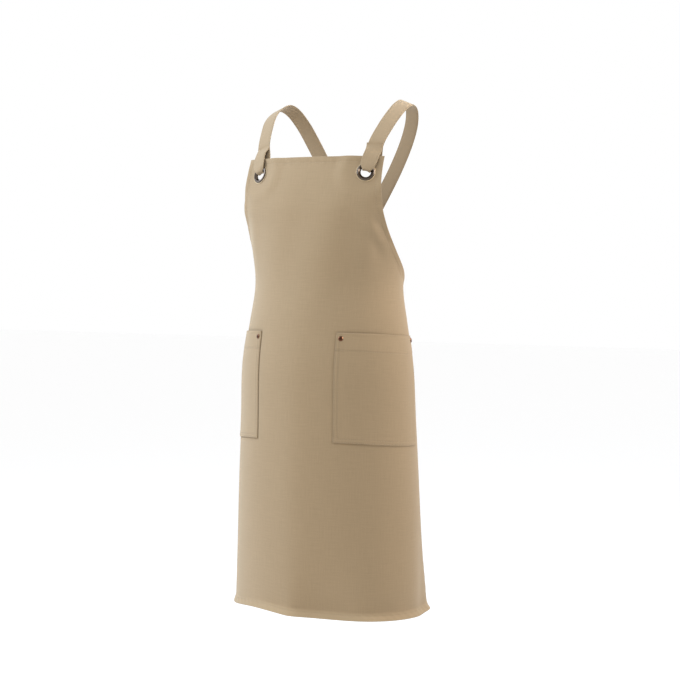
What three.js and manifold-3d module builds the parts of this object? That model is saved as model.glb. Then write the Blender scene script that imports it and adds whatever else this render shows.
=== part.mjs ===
// A cross-back kitchen apron in cotton twill, in the shape that it takes when it is worn.
// Millimetres, +Z up. The origin lies midway between the two straps, where they rest on the shoulders.
// +X is the wearer's left and -Y is the front.
import * as THREE from "three";
import { mergeVertices } from "three/addons/utils/BufferGeometryUtils.js";
import Module from "manifold-3d";

// Heights on the front of the apron
const BIB_TOP_Z = -109;
const WAIST_Z = -352;
const HEM_Z = -961.5;

// The cut of the panel, measured across the cloth from its centre line
const BIB_HALF_WIDTH = 150;
const SKIRT_HALF_WIDTH = 360;
const ARMHOLE_DROP_POWER = 2.4;
const ARMHOLE_SWEEP_POWER = 1 / 2.6;

// Cloth thicknesses, and the clearances between layers that are sewn or pressed together
const CLOTH_THICKNESS = 1.2;
const STRAP_THICKNESS = 2.2;
const STRAP_WIDTH = 30;
const LAYER_GAP = 0.6;
const METAL_GAP = 0.3;

// Patch pockets: distances across the cloth from the centre line, and heights
const POCKET_INNER_S = 83;
const POCKET_OUTER_S = 270;
const POCKET_TOP_V = -435;
const POCKET_HEM_V = -469;
const POCKET_BOTTOM_V = -637;
const POCKET_MOUTH_SLACK = 2.6;

// How the worn cloth hangs: lower at the sides of the hips, and with its hem lower on the wearer's left
const SIDE_DROOP = 9;
const SIDE_DROOP_FULL_V = POCKET_TOP_V - 60;
const HEM_SKEW = 4.5;
const HEM_SKEW_LEFT_REACH = 160;
const HEM_SKEW_RIGHT_REACH = 75;

// Rivets at the top corners of the pockets
const RIVET_INSET_S = 8.5;
const INNER_RIVET_BELOW_TOP = 11;
const OUTER_RIVET_BELOW_TOP = 8;
const RIVET_CAP_RADIUS = 4.8;
const RIVET_CAP_HEIGHT = 1.9;
const RIVET_POST_RADIUS = 1.6;
const RIVET_BACK_RADIUS = 4.2;
const RIVET_BACK_HEIGHT = 0.8;
const RIVET_SIDES = 14;

// Eyelets at the top corners of the bib, on the wearer's left and right
const LEFT_EYELET_S = 120;
const RIGHT_EYELET_S = -111;
const EYELET_BELOW_TOP = 30;
const EYELET_HOLE_RADIUS = 10;
const EYELET_BARREL_RADIUS = 11.2;
const EYELET_OUTER_RADIUS = 18.5;
const EYELET_BACK_RADIUS = 17;
const EYELET_FRONT_HEIGHT = 2.3;
const EYELET_BACK_HEIGHT = 0.9;
const EYELET_SIDES = 24;
const EYELET_FLAT_RADIUS = 34;
const EYELET_FADE_RADIUS = 62;

const TWILL_COLOUR = 0xb59f80;
const POCKET_COLOUR = 0xb29b7c;
const STRAP_COLOUR = 0xb8a384;
const GUNMETAL_COLOUR = 0x6a625c;
const COPPER_COLOUR = 0x5b3a2c;

// Level sections through the worn cloth: half an ellipse in front of its widest place and half one behind.
const SECTIONS = [
  { z: -966, halfWidth: 193, front: 152, back: 154, middleY: -35 },
  { z: -850, halfWidth: 188, front: 146, back: 149, middleY: -40 },
  { z: -720, halfWidth: 182, front: 142, back: 144, middleY: -46 },
  { z: -600, halfWidth: 176, front: 137, back: 138, middleY: -51 },
  { z: -500, halfWidth: 172, front: 134, back: 128, middleY: -54 },
  { z: -420, halfWidth: 160, front: 125, back: 110, middleY: -53 },
  { z: -345, halfWidth: 150, front: 115, back: 103, middleY: -53 },
  { z: -275, halfWidth: 160, front: 114, back: 106, middleY: -53 },
  { z: -235, halfWidth: 172, front: 116, back: 104, middleY: -50 },
  { z: -200, halfWidth: 194, front: 119, back: 102, middleY: -45 },
  { z: -155, halfWidth: 204, front: 121, back: 100, middleY: -33 },
  { z: -107, halfWidth: 208, front: 122, back: 100, middleY: -17 },
];

// Soft folds: where each is deepest, its spread across and along the cloth, and its depth (inwards below 0).
const FOLDS = [
  { s: 80, v: -985, across: 50, along: 115, depth: -11 },
  { s: 42, v: -985, across: 26, along: 80, depth: -4.5 },
  { s: 185, v: -985, across: 52, along: 160, depth: 5 },
  { s: -110, v: -985, across: 80, along: 160, depth: -4 },
  { s: 300, v: -985, across: 34, along: 220, depth: -6 },
  { s: -300, v: -985, across: 34, along: 220, depth: -6 },
  { s: 352, v: -985, across: 26, along: 130, depth: 4 },
  { s: -352, v: -985, across: 26, along: 130, depth: 4 },
  { s: 128, v: -262, across: 20, along: 60, depth: 3 },
  { s: -128, v: -262, across: 20, along: 60, depth: 3 },
];

// The left strap over the shoulder and down the back: points on its middle, the way that its face looks,
// and the share in which a point follows its own eyelet, which is nearer or farther out than the other
// one.
const STRAP_ROUTE = [
  { x: 122, y: -106, z: -86, faceX: 0.28, faceY: -0.83, faceZ: 0.48, follows: 0.85 },
  { x: 130, y: -80, z: -50, faceX: 0.3, faceY: -0.68, faceZ: 0.66, follows: 0.45 },
  { x: 136, y: -52, z: -23, faceX: 0.33, faceY: -0.5, faceZ: 0.8, follows: 0 },
  { x: 136.5, y: -25, z: -6, faceX: 0.36, faceY: -0.24, faceZ: 0.9, follows: 0 },
  { x: 135, y: 0, z: 1.1, faceX: 0.37, faceY: 0, faceZ: 0.93, follows: 0 },
  { x: 131.5, y: 24, z: -6, faceX: 0.36, faceY: 0.36, faceZ: 0.86, follows: 0 },
  { x: 121.5, y: 46, z: -30, faceX: 0.32, faceY: 0.7, faceZ: 0.64, follows: 0 },
  { x: 105, y: 59, z: -66, faceX: 0.25, faceY: 0.9, faceZ: 0.36, follows: 0 },
  { x: 77, y: 66, z: -120, faceX: 0.14, faceY: 0.98, faceZ: 0.12, follows: 0 },
  { x: 38, y: 68, z: -186, faceX: 0.05, faceY: 1, faceZ: 0.02, follows: 0 },
  { x: 0, y: 68, z: -250, faceX: 0, faceY: 1, faceZ: 0, follows: 0 },
  { x: -31, y: 63, z: -300, faceX: -0.12, faceY: 0.99, faceZ: 0, follows: 0 },
];
const CROSSING_Z = -250;
const CROSSING_REACH = 110;
const CROSSING_OFFSET = 1.8;

// The sewn lower end of a strap, on the inside of the panel's far waist corner.
const STRAP_END = [
  { s: 351, below: -12 },
  { s: 342, below: 10 },
  { s: 330, below: 38 },
];
const STRAP_END_BOW = 1;

// The strap's loop through its eyelet, seen from the side: height above the hole's centre, distance in
// front of the cloth, how far it lies aside towards the wearer's left, and how far the middle of the
// gathered cloth bows into the loop.
const LOOP_BEHIND = [
  { up: 34, out: -6.2, aside: 3.5, width: 30, thickness: 2.2, bow: 0 },
  { up: 22, out: -5.8, aside: 2, width: 29, thickness: 2.2, bow: 0 },
  { up: 12, out: -5, aside: 0.6, width: 23, thickness: 2.4, bow: 0.4 },
  { up: 5.4, out: -3.5, aside: 0, width: 16, thickness: 2.8, bow: 1.4 },
  { up: 4, out: 0.4, aside: 0, width: 14, thickness: 2.8, bow: 2 },
];
const LOOP_BEFORE = [
  { up: 4, out: -0.4, aside: 0, width: 14, thickness: 2.8, bow: 2 },
  { up: 5.2, out: 4.1, aside: 0, width: 18, thickness: 2.8, bow: 1 },
  { up: 11, out: 6, aside: 0, width: 25, thickness: 2.4, bow: 0 },
  { up: 20, out: 5.8, aside: 0, width: 29.5, thickness: 2.2, bow: 0 },
  { up: 32, out: 4.8, aside: 0.2, width: 30, thickness: 2.2, bow: 0 },
  { up: 44, out: 1.6, aside: 0.4, width: 30, thickness: 2.2, bow: 0 },
];
// The sewn end of the loop lies on the strap's own face, so the two are fused there.
const TAB_FUSED_OFFSET = 1.9;
const TAB_FUSED_AT = [0.85, 1.05];
const STRAP_STEPS_PER_SPAN = 3;
const RIBBON_SHARES = [-1, -0.4, 0.4, 1];

// Mesh lines across the cloth, and the number of rows in each stretch of it
const COLUMNS = [
  ...[0, 22, 43, 64],
  ...[POCKET_INNER_S, POCKET_INNER_S + RIVET_INSET_S],
  ...[112, 135, 160, 188, 216, 244],
  ...[POCKET_OUTER_S - RIVET_INSET_S, POCKET_OUTER_S],
  ...[292, 313, 331, 346, SKIRT_HALF_WIDTH],
];
const BIB_ROWS = 12;
const HIP_ROWS = 3;
const POCKET_ROWS = 5;
const SKIRT_ROWS = 8;
// The cutter that takes the armholes out of the panel
const ARMHOLE_ROWS = 20;
const ARMHOLE_ROW_CROWDING = 2.2;
const ARMHOLE_CUT_DEPTH = 8;
const ARMHOLE_CUT_REACH = 400;
const ARMHOLE_CUT_COLUMNS = 10;

const wasm = await Module();
wasm.setup();

/** Rises smoothly from 0 at low to 1 at high. */
function smoothStep(low, high, x) {
  return THREE.MathUtils.smoothstep(x, low, high);
}

/** The slope of a table's column at a row, from the rows beside it. */
function slopeAt(table, key, column, i) {
  const before = table[Math.max(i - 1, 0)];
  const after = table[Math.min(i + 1, table.length - 1)];
  return (after[column] - before[column]) / (after[key] - before[key]);
}

/** A column of a table at x, along a smooth curve through its rows. */
function tableAt(table, key, column, x) {
  let i = 0;
  while (i < table.length - 2 && table[i + 1][key] < x) i += 1;
  const [low, high] = [table[i], table[i + 1]];
  const span = high[key] - low[key];
  const u = (x - low[key]) / span;
  const rise = slopeAt(table, key, column, i) * span;
  const fall = slopeAt(table, key, column, i + 1) * span;
  const blend = u * u * (3 - 2 * u);
  const bend = u * (1 - u) * ((1 - u) * rise - u * fall);
  return low[column] * (1 - blend) + high[column] * blend + bend;
}

/** The half of a level section on the wearer's left, as points with the distance s across the cloth. */
const SECTION_STEPS = 120;
const sectionCache = new Map();
function halfSection(z) {
  const key = z.toFixed(3);
  if (sectionCache.has(key)) return sectionCache.get(key);
  const size = (column) => tableAt(SECTIONS, "z", column, z);
  const [halfWidth, front, back, middleY] = ["halfWidth", "front", "back", "middleY"].map(size);
  const points = [];
  for (let i = 0; i <= SECTION_STEPS; i += 1) {
    const angle = (Math.PI * i) / SECTION_STEPS;
    const depth = angle < Math.PI / 2 ? front : back;
    const x = halfWidth * Math.sin(angle);
    const y = middleY - depth * Math.cos(angle);
    const last = points[i - 1];
    points.push({ x, y, s: last ? last.s + Math.hypot(x - last.x, y - last.y) : 0 });
  }
  sectionCache.set(key, points);
  return points;
}

/** The place on a level section at a distance s across the cloth from the centre line. */
function onSection(s, z) {
  const points = halfSection(z);
  const reach = Math.abs(s);
  let i = 0;
  while (i < points.length - 2 && points[i + 1].s < reach) i += 1;
  const [a, b] = [points[i], points[i + 1]];
  const u = (reach - a.s) / (b.s - a.s);
  const x = a.x + (b.x - a.x) * u;
  return new THREE.Vector3(Math.sign(s) * x, a.y + (b.y - a.y) * u, z);
}

/** How far the cloth hangs lower at the sides of the hips than at the front. */
function sideDroop(s, v) {
  const across = smoothStep(POCKET_INNER_S, POCKET_OUTER_S, Math.abs(s));
  const below = 1 - smoothStep(SIDE_DROOP_FULL_V, WAIST_Z, v);
  const above = smoothStep(HEM_Z, POCKET_BOTTOM_V, v);
  return SIDE_DROOP * across * below * above;
}

/** How far the skirt hangs lower on the wearer's left than in the middle. */
function hemSkew(s, v) {
  const quarter = s > 0 ? Math.min(s / HEM_SKEW_LEFT_REACH, 1) : Math.max(s / HEM_SKEW_RIGHT_REACH, -2.4);
  const across = Math.sin((Math.PI / 2) * quarter);
  return HEM_SKEW * across * (1 - smoothStep(HEM_Z, POCKET_BOTTOM_V, v));
}

/** The cloth over the body, before folds. s runs across the cloth and v down it. */
function smoothCloth(s, v) {
  return onSection(s, v - sideDroop(s, v) - hemSkew(s, v));
}

/** The outward direction of a surface at s, v. */
function normalOf(surface, s, v) {
  const step = 2;
  const across = surface(s + step, v).sub(surface(s - step, v));
  const up = surface(s, v + step).sub(surface(s, v - step));
  return across.cross(up).normalize();
}

/** The cloth with its soft folds. */
function foldedCloth(s, v) {
  const depth = FOLDS.reduce((sum, fold) => {
    const across = (s - fold.s) / fold.across;
    const along = (v - fold.v) / fold.along;
    return sum + fold.depth * Math.exp(-across * across - along * along);
  }, 0);
  return smoothCloth(s, v).addScaledVector(normalOf(smoothCloth, s, v), depth);
}

const EYELET_V = BIB_TOP_Z - EYELET_BELOW_TOP;
const EYELETS = [LEFT_EYELET_S, RIGHT_EYELET_S].map((s) => ({
  centre: foldedCloth(s, EYELET_V),
  normal: normalOf(foldedCloth, s, EYELET_V),
}));

/** The middle of the panel's cloth, pressed flat where an eyelet clamps it. */
function cloth(s, v) {
  const point = foldedCloth(s, v);
  for (const { centre, normal } of EYELETS) {
    const fromCentre = point.clone().sub(centre);
    const flat = 1 - smoothStep(EYELET_FLAT_RADIUS, EYELET_FADE_RADIUS, fromCentre.length());
    point.addScaledVector(normal, -flat * fromCentre.dot(normal));
  }
  return point;
}

/** Half the width of the panel at height v: the bib, the armhole's sweep and the skirt. */
function panelHalfWidth(v) {
  if (v <= WAIST_Z) return SKIRT_HALF_WIDTH;
  const down = Math.max(0, (BIB_TOP_Z - v) / (BIB_TOP_Z - WAIST_Z));
  const sweep = (1 - down ** ARMHOLE_DROP_POWER) ** ARMHOLE_SWEEP_POWER;
  return SKIRT_HALF_WIDTH - (SKIRT_HALF_WIDTH - BIB_HALF_WIDTH) * sweep;
}

/** count + 1 values from start to end. */
function evenSteps(start, end, count) {
  return Array.from({ length: count + 1 }, (_, i) => start + ((end - start) * i) / count);
}

/**
 * A closed slab between an inner and an outer grid of points, which have the same rows and columns.
 * Squares left of column mirrorBefore are split along their other diagonal.
 */
function slabGeometry(inner, outer, mirrorBefore = 0) {
  const rows = outer.length;
  const columns = outer[0].length;
  const positions = [...outer.flat(), ...inner.flat()].flatMap((p) => p.toArray());
  const at = (layer, i, j) => layer * rows * columns + i * columns + j;
  const triangles = [];
  const quad = (a, b, c, d) => triangles.push(a, b, c, a, c, d);
  for (let i = 0; i < rows - 1; i += 1) {
    for (let j = 0; j < columns - 1; j += 1) {
      const front = [at(0, i, j), at(0, i + 1, j), at(0, i + 1, j + 1), at(0, i, j + 1)];
      const back = [at(1, i, j), at(1, i, j + 1), at(1, i + 1, j + 1), at(1, i + 1, j)];
      const turn = j < mirrorBefore ? 1 : 0;
      quad(...front.slice(turn), ...front.slice(0, turn));
      quad(...back.slice(turn), ...back.slice(0, turn));
    }
  }
  for (let j = 0; j < columns - 1; j += 1) {
    quad(at(0, 0, j), at(0, 0, j + 1), at(1, 0, j + 1), at(1, 0, j));
    quad(at(0, rows - 1, j + 1), at(0, rows - 1, j), at(1, rows - 1, j), at(1, rows - 1, j + 1));
  }
  for (let i = 0; i < rows - 1; i += 1) {
    quad(at(0, i + 1, 0), at(0, i, 0), at(1, i, 0), at(1, i + 1, 0));
    quad(at(0, i, columns - 1), at(0, i + 1, columns - 1), at(1, i + 1, columns - 1), at(1, i, columns - 1));
  }
  const geometry = new THREE.BufferGeometry();
  geometry.setAttribute("position", new THREE.Float32BufferAttribute(positions, 3));
  geometry.setIndex(triangles);
  return geometry;
}

/** A closed geometry as a solid that can be cut and joined. */
function solidOf(geometry) {
  const bare = geometry.clone();
  bare.deleteAttribute("normal");
  bare.deleteAttribute("uv");
  const merged = mergeVertices(bare, 1e-3);
  const vertProperties = merged.getAttribute("position").array;
  const triVerts = new Uint32Array(merged.getIndex().array);
  return new wasm.Manifold(new wasm.Mesh({ numProp: 3, vertProperties, triVerts }));
}

/** The geometry of a solid. */
function geometryOf(solid) {
  const { vertProperties, triVerts } = solid.getMesh();
  const geometry = new THREE.BufferGeometry();
  geometry.setAttribute("position", new THREE.BufferAttribute(vertProperties, 3));
  geometry.setIndex(new THREE.BufferAttribute(triVerts, 1));
  return geometry;
}

/** A cloth wall over a grid of s and v, from one distance in front of the panel's middle to another. */
function clothWall(grid, innerOffset, outerOffset) {
  const mirrorBefore = grid[0].filter(({ s }) => s < 0).length;
  const layer = (offset) =>
    grid.map((row) =>
      row.map(({ s, v }) => cloth(s, v).addScaledVector(normalOf(cloth, s, v), offset(s, v))),
    );
  return slabGeometry(layer(innerOffset), layer(outerOffset), mirrorBefore);
}

/** A cylinder along a surface normal, for punching a round hole. */
function punch(centre, normal, radius, sides) {
  const length = 16;
  const geometry = new THREE.CylinderGeometry(radius, radius, length, sides);
  return solidOf(geometry.applyMatrix4(standingOn(centre, normal)));
}

/** The transform that stands a lathed piece, whose axis is +Y, on a point along a normal. */
function standingOn(centre, normal) {
  const turn = new THREE.Quaternion().setFromUnitVectors(new THREE.Vector3(0, 1, 0), normal);
  return new THREE.Matrix4().compose(centre, turn, new THREE.Vector3(1, 1, 1));
}

/** The rivets of a pocket, on the wearer's left for side 1 and right for side -1. */
function rivetPlaces(side) {
  const inner = [side * (POCKET_INNER_S + RIVET_INSET_S), POCKET_TOP_V - INNER_RIVET_BELOW_TOP];
  const outer = [side * (POCKET_OUTER_S - RIVET_INSET_S), POCKET_TOP_V - OUTER_RIVET_BELOW_TOP];
  return [inner, outer].map(([s, v]) => ({ centre: cloth(s, v), normal: normalOf(cloth, s, v) }));
}

/** The rows of the panel's mesh, from the bib's top edge to the hem. */
function panelRows() {
  const bib = evenSteps(BIB_TOP_Z, WAIST_Z, BIB_ROWS);
  const hip = evenSteps(WAIST_Z, POCKET_TOP_V, HIP_ROWS).slice(1);
  const skirt = evenSteps(POCKET_BOTTOM_V, HEM_Z, SKIRT_ROWS).slice(1);
  return [...bib, ...hip, ...pocketRows().slice(1), ...skirt];
}

/** The solid that takes an armhole out of the panel: all that lies past the edge of the bib. */
function armholeCutter(side) {
  const rows = evenSteps(0, 1, ARMHOLE_ROWS).map((share) => {
    const down = 1 - (1 - share) ** ARMHOLE_ROW_CROWDING;
    return BIB_TOP_Z + (WAIST_Z - BIB_TOP_Z) * down;
  });
  const grid = [BIB_TOP_Z + ARMHOLE_CUT_DEPTH, ...rows].map((v) => {
    const line = evenSteps(panelHalfWidth(v), ARMHOLE_CUT_REACH, ARMHOLE_CUT_COLUMNS);
    const ordered = side > 0 ? line : line.map((s) => -s).reverse();
    return ordered.map((s) => ({ s, v }));
  });
  return solidOf(clothWall(grid, () => -ARMHOLE_CUT_DEPTH, () => ARMHOLE_CUT_DEPTH));
}

/** The rows of a pocket's mesh, from its mouth to its bottom edge. */
function pocketRows() {
  const rivets = POCKET_TOP_V - (INNER_RIVET_BELOW_TOP + OUTER_RIVET_BELOW_TOP) / 2;
  return [POCKET_TOP_V, rivets, ...evenSteps(POCKET_HEM_V, POCKET_BOTTOM_V, POCKET_ROWS)];
}

/** The panel: bib and skirt in one cut, with the holes for its eyelets and rivets. */
function panelGeometry() {
  const lines = [...COLUMNS.slice(1).reverse().map((s) => -s), ...COLUMNS];
  const grid = panelRows().map((v) => lines.map((s) => ({ s, v })));
  const half = CLOTH_THICKNESS / 2;
  let solid = solidOf(clothWall(grid, () => -half, () => half));
  solid = solid.subtract(armholeCutter(1)).subtract(armholeCutter(-1));
  for (const { centre, normal } of EYELETS) {
    const hole = punch(centre, normal, EYELET_BARREL_RADIUS + METAL_GAP, EYELET_SIDES);
    solid = solid.subtract(hole);
  }
  for (const { centre, normal } of [...rivetPlaces(1), ...rivetPlaces(-1)]) {
    solid = solid.subtract(punch(centre, normal, RIVET_POST_RADIUS + METAL_GAP, RIVET_SIDES));
  }
  return geometryOf(solid);
}

/** How far a pocket's back stands off the panel's middle: sewn flat at its edges, slack at its mouth. */
function pocketStandOff(s, v) {
  const across = (Math.abs(s) - POCKET_INNER_S) / (POCKET_OUTER_S - POCKET_INNER_S);
  const up = (v - POCKET_BOTTOM_V) / (POCKET_TOP_V - POCKET_BOTTOM_V);
  const slack = POCKET_MOUTH_SLACK * Math.sin(Math.PI * across) * Math.max(0, up) ** 2;
  return CLOTH_THICKNESS / 2 + LAYER_GAP + slack;
}

/** A patch pocket, open at its top edge. */
function pocketGeometry(side) {
  const lines = COLUMNS.filter((s) => s >= POCKET_INNER_S && s <= POCKET_OUTER_S);
  const ordered = side > 0 ? lines : lines.map((s) => -s).reverse();
  const grid = pocketRows().map((v) => ordered.map((s) => ({ s, v })));
  const front = (s, v) => pocketStandOff(s, v) + CLOTH_THICKNESS;
  let solid = solidOf(clothWall(grid, pocketStandOff, front));
  for (const { centre, normal } of rivetPlaces(side)) {
    solid = solid.subtract(punch(centre, normal, RIVET_POST_RADIUS + METAL_GAP, RIVET_SIDES));
  }
  return geometryOf(solid);
}

/** A turned piece about +Y, from a profile of [radius, height] pairs. */
function turned(profile, sides) {
  return new THREE.LatheGeometry(profile.map(([r, y]) => new THREE.Vector2(r, y)), sides);
}

/** A two-part pressed eyelet: a domed ring in front, a barrel through the cloth and a washer behind. */
function eyeletGeometry() {
  const front = CLOTH_THICKNESS / 2 + METAL_GAP;
  const crest = front + EYELET_FRONT_HEIGHT;
  const back = front + EYELET_BACK_HEIGHT;
  const hole = EYELET_HOLE_RADIUS;
  const rim = EYELET_OUTER_RADIUS;
  const profile = [
    [hole, -back + 0.4],
    [hole + 1, -back],
    [EYELET_BACK_RADIUS - 0.5, -back],
    [EYELET_BACK_RADIUS, -front],
    [EYELET_BARREL_RADIUS, -front],
    [EYELET_BARREL_RADIUS, front],
    [rim, front],
    [rim - 0.6, front + 0.35 * EYELET_FRONT_HEIGHT],
    [rim - 2.6, front + 0.8 * EYELET_FRONT_HEIGHT],
    [rim - 4.6, crest],
    [hole + 2.2, front + 0.9 * EYELET_FRONT_HEIGHT],
    [hole + 0.6, front + 0.45 * EYELET_FRONT_HEIGHT],
    [hole, front],
    [hole, -back + 0.4],
  ];
  return turned(profile, EYELET_SIDES);
}

/** A domed rivet: its cap on the pocket, its post through both cloths and its plate behind the panel. */
function rivetGeometry() {
  const pocketFace = CLOTH_THICKNESS / 2 + LAYER_GAP + CLOTH_THICKNESS + 2 * METAL_GAP;
  const panelBack = -CLOTH_THICKNESS / 2 - 2 * METAL_GAP;
  const profile = [
    [0, panelBack - RIVET_BACK_HEIGHT],
    [RIVET_BACK_RADIUS - 0.4, panelBack - RIVET_BACK_HEIGHT],
    [RIVET_BACK_RADIUS, panelBack],
    [RIVET_POST_RADIUS, panelBack],
    [RIVET_POST_RADIUS, pocketFace],
    [RIVET_CAP_RADIUS, pocketFace],
    [RIVET_CAP_RADIUS, pocketFace + 0.3 * RIVET_CAP_HEIGHT],
    [0.8 * RIVET_CAP_RADIUS, pocketFace + 0.75 * RIVET_CAP_HEIGHT],
    [0.45 * RIVET_CAP_RADIUS, pocketFace + 0.95 * RIVET_CAP_HEIGHT],
    [0, pocketFace + RIVET_CAP_HEIGHT],
  ];
  return turned(profile, RIVET_SIDES);
}

/** A ribbon through places that each have a point, a face direction, a width, a thickness and a bow. */
function ribbonGeometry(places) {
  const middle = new THREE.CatmullRomCurve3(places.map((place) => place.point));
  const faces = new THREE.CatmullRomCurve3(places.map((place) => place.face));
  const sizes = new THREE.CatmullRomCurve3(
    places.map((place) => new THREE.Vector3(place.width, place.thickness, place.bow)),
  );
  const steps = evenSteps(0, 1, (places.length - 1) * STRAP_STEPS_PER_SPAN);
  const edge = steps.map((t) => {
    const point = middle.getPoint(t);
    const along = middle.getTangent(t);
    const across = faces.getPoint(t).cross(along).normalize();
    const face = along.clone().cross(across);
    const size = sizes.getPoint(t);
    const line = (n) =>
      RIBBON_SHARES.map((w) => {
        const lift = (n * size.y) / 2 - size.z * w * w;
        return point.clone().addScaledVector(across, (w * size.x) / 2).addScaledVector(face, lift);
      });
    return { outer: line(1), inner: line(-1) };
  });
  return slabGeometry(edge.map((row) => row.inner), edge.map((row) => row.outer));
}

/** How far a strap is lifted where the two cross, outwards for the left one and inwards for the right one. */
function crossingLift(side, z) {
  const near = 1 - smoothStep(0.4 * CROSSING_REACH, CROSSING_REACH, Math.abs(z - CROSSING_Z));
  return side * CROSSING_OFFSET * near;
}

/** The places of a strap from its loop's top, over the shoulder, across the back and down to its sewn end. */
function strapBackPlaces(side) {
  const size = { width: STRAP_WIDTH, thickness: STRAP_THICKNESS, bow: 0 };
  const apart = side > 0 ? LEFT_EYELET_S : -RIGHT_EYELET_S;
  const farther = apart - (LEFT_EYELET_S - RIGHT_EYELET_S) / 2;
  const overBody = STRAP_ROUTE.map((row) => {
    const face = new THREE.Vector3(side * row.faceX, row.faceY, row.faceZ).normalize();
    const point = new THREE.Vector3(side * (row.x + row.follows * farther), row.y, row.z);
    return { point: point.addScaledVector(face, crossingLift(side, row.z)), face, ...size };
  });
  const inside = -(CLOTH_THICKNESS + STRAP_THICKNESS) / 2 - LAYER_GAP;
  const sewn = STRAP_END.map(({ s, below }) => {
    const face = normalOf(cloth, -side * s, WAIST_Z - below);
    const point = cloth(-side * s, WAIST_Z - below).addScaledVector(face, inside);
    return { point, face, ...size, bow: STRAP_END_BOW };
  });
  return [...overBody, ...sewn];
}

/** The places of a loop's table, in the plane of its eyelet and the strap's first point over the body. */
function loopPlaces(eyelet, towards, table, facing) {
  const { centre, normal } = eyelet;
  const up = towards.clone().sub(centre);
  up.addScaledVector(normal, -up.dot(normal)).normalize();
  const aside = up.clone().cross(normal);
  return table.map((row, i) => {
    const before = table[Math.max(i - 1, 0)];
    const after = table[Math.min(i + 1, table.length - 1)];
    const [rise, reach] = [after.up - before.up, after.out - before.out];
    const face = normal.clone().multiplyScalar(-facing * rise).addScaledVector(up, facing * reach);
    const point = centre.clone().addScaledVector(up, row.up).addScaledVector(normal, row.out);
    point.addScaledVector(aside, row.aside);
    return { ...row, point, face: face.normalize(), bow: facing * row.bow };
  });
}

/** One strap: its long run, and the loop through its eyelet that is sewn back on to it. */
function strapGeometry(side) {
  const eyelet = EYELETS[side > 0 ? 0 : 1];
  const backPlaces = strapBackPlaces(side);
  const towards = backPlaces[0].point;
  const behind = loopPlaces(eyelet, towards, LOOP_BEHIND, 1);
  const run = [...behind.reverse(), ...backPlaces];
  const before = loopPlaces(eyelet, towards, LOOP_BEFORE, -1);
  const loopTop = behind[behind.length - 1];
  const fused = TAB_FUSED_AT.map((share) => {
    const face = loopTop.face.clone().lerp(backPlaces[0].face, share).normalize();
    const point = loopTop.point.clone().lerp(towards, share).addScaledVector(face, TAB_FUSED_OFFSET);
    return { point, face, width: STRAP_WIDTH, thickness: STRAP_THICKNESS, bow: 0 };
  });
  const long = solidOf(ribbonGeometry(run));
  const tab = solidOf(ribbonGeometry([...before, ...fused]));
  return geometryOf(long.add(tab));
}

/** A named piece with its material. */
function piece(name, geometry, colour, roughness, metalness = 0) {
  const material = new THREE.MeshStandardMaterial({ color: colour, roughness, metalness });
  const mesh = new THREE.Mesh(geometry, material);
  mesh.name = name;
  return mesh;
}

/** A turned metal piece, standing on the cloth. */
function fitted(mesh, { centre, normal }) {
  mesh.applyMatrix4(standingOn(centre, normal));
  return mesh;
}

const apron = new THREE.Group();
apron.name = "kitchen_apron";
apron.add(piece("apron_panel", panelGeometry(), TWILL_COLOUR, 0.9));
for (const [hand, side] of [["left", 1], ["right", -1]]) {
  apron.add(piece(`${hand}_pocket`, pocketGeometry(side), POCKET_COLOUR, 0.9));
  apron.add(piece(`${hand}_strap`, strapGeometry(side), STRAP_COLOUR, 0.9));
  const eyelet = piece(`${hand}_eyelet`, eyeletGeometry(), GUNMETAL_COLOUR, 0.25, 1);
  apron.add(fitted(eyelet, EYELETS[side > 0 ? 0 : 1]));
  ["inner", "outer"].forEach((corner, i) => {
    const rivet = piece(`${hand}_pocket_${corner}_rivet`, rivetGeometry(), COPPER_COLOUR, 0.35, 1);
    apron.add(fitted(rivet, rivetPlaces(side)[i]));
  });
}

export default apron;
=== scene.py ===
"""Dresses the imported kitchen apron: twill panel, pockets and straps, stitching, eyelets and rivets.

Lengths are millimetres until a mesh is made. A place on the cloth is given as on its paper pattern: s runs
across from the centre line, to the wearer's left above zero, and v is the height. In space +X is the
wearer's left, -Y the front and +Z up.
"""

from __future__ import annotations

import logging
import math
from dataclasses import dataclass, field
from enum import Enum
from typing import Any, Callable, Sequence

import bpy
import numpy as np
from mathutils import Matrix, Vector
from mathutils.geometry import delaunay_2d_cdt
from mathutils.kdtree import KDTree

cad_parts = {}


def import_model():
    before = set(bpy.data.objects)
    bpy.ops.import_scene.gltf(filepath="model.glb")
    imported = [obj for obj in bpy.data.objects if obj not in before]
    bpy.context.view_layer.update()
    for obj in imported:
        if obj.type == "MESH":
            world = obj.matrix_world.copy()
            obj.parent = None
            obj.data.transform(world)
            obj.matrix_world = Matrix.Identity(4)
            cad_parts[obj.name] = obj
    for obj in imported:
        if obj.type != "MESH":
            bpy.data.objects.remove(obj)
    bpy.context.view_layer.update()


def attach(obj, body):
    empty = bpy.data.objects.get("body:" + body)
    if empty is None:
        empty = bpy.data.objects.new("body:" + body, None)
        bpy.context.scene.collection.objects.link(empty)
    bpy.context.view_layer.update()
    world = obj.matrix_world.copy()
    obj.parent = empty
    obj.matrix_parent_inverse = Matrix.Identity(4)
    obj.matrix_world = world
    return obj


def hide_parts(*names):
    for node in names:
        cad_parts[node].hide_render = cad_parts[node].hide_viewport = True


Array = np.ndarray
Faces = list[Sequence[int]]

MM = 0.001
BODY = "root"
# Points of a turned piece's first and last ring that lie closer than this are one
RING_MERGE = 0.002

# The UV map and the vertex values that the finishes read
CLOTH_UV = "cloth"
# Painted shade along seams and round the pockets
PAINTED_SEAM_SHADE = "seam"
# Painted light on the skirt's bottom hem band
PAINTED_HEM_LIGHT = "painted_hem_light"
# Worn metal on the rivets' rims, and a painted reflection of the cloth on the eyelets' flanges
WEAR_AND_PAINTED_REFLECTION = "wear"

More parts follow.
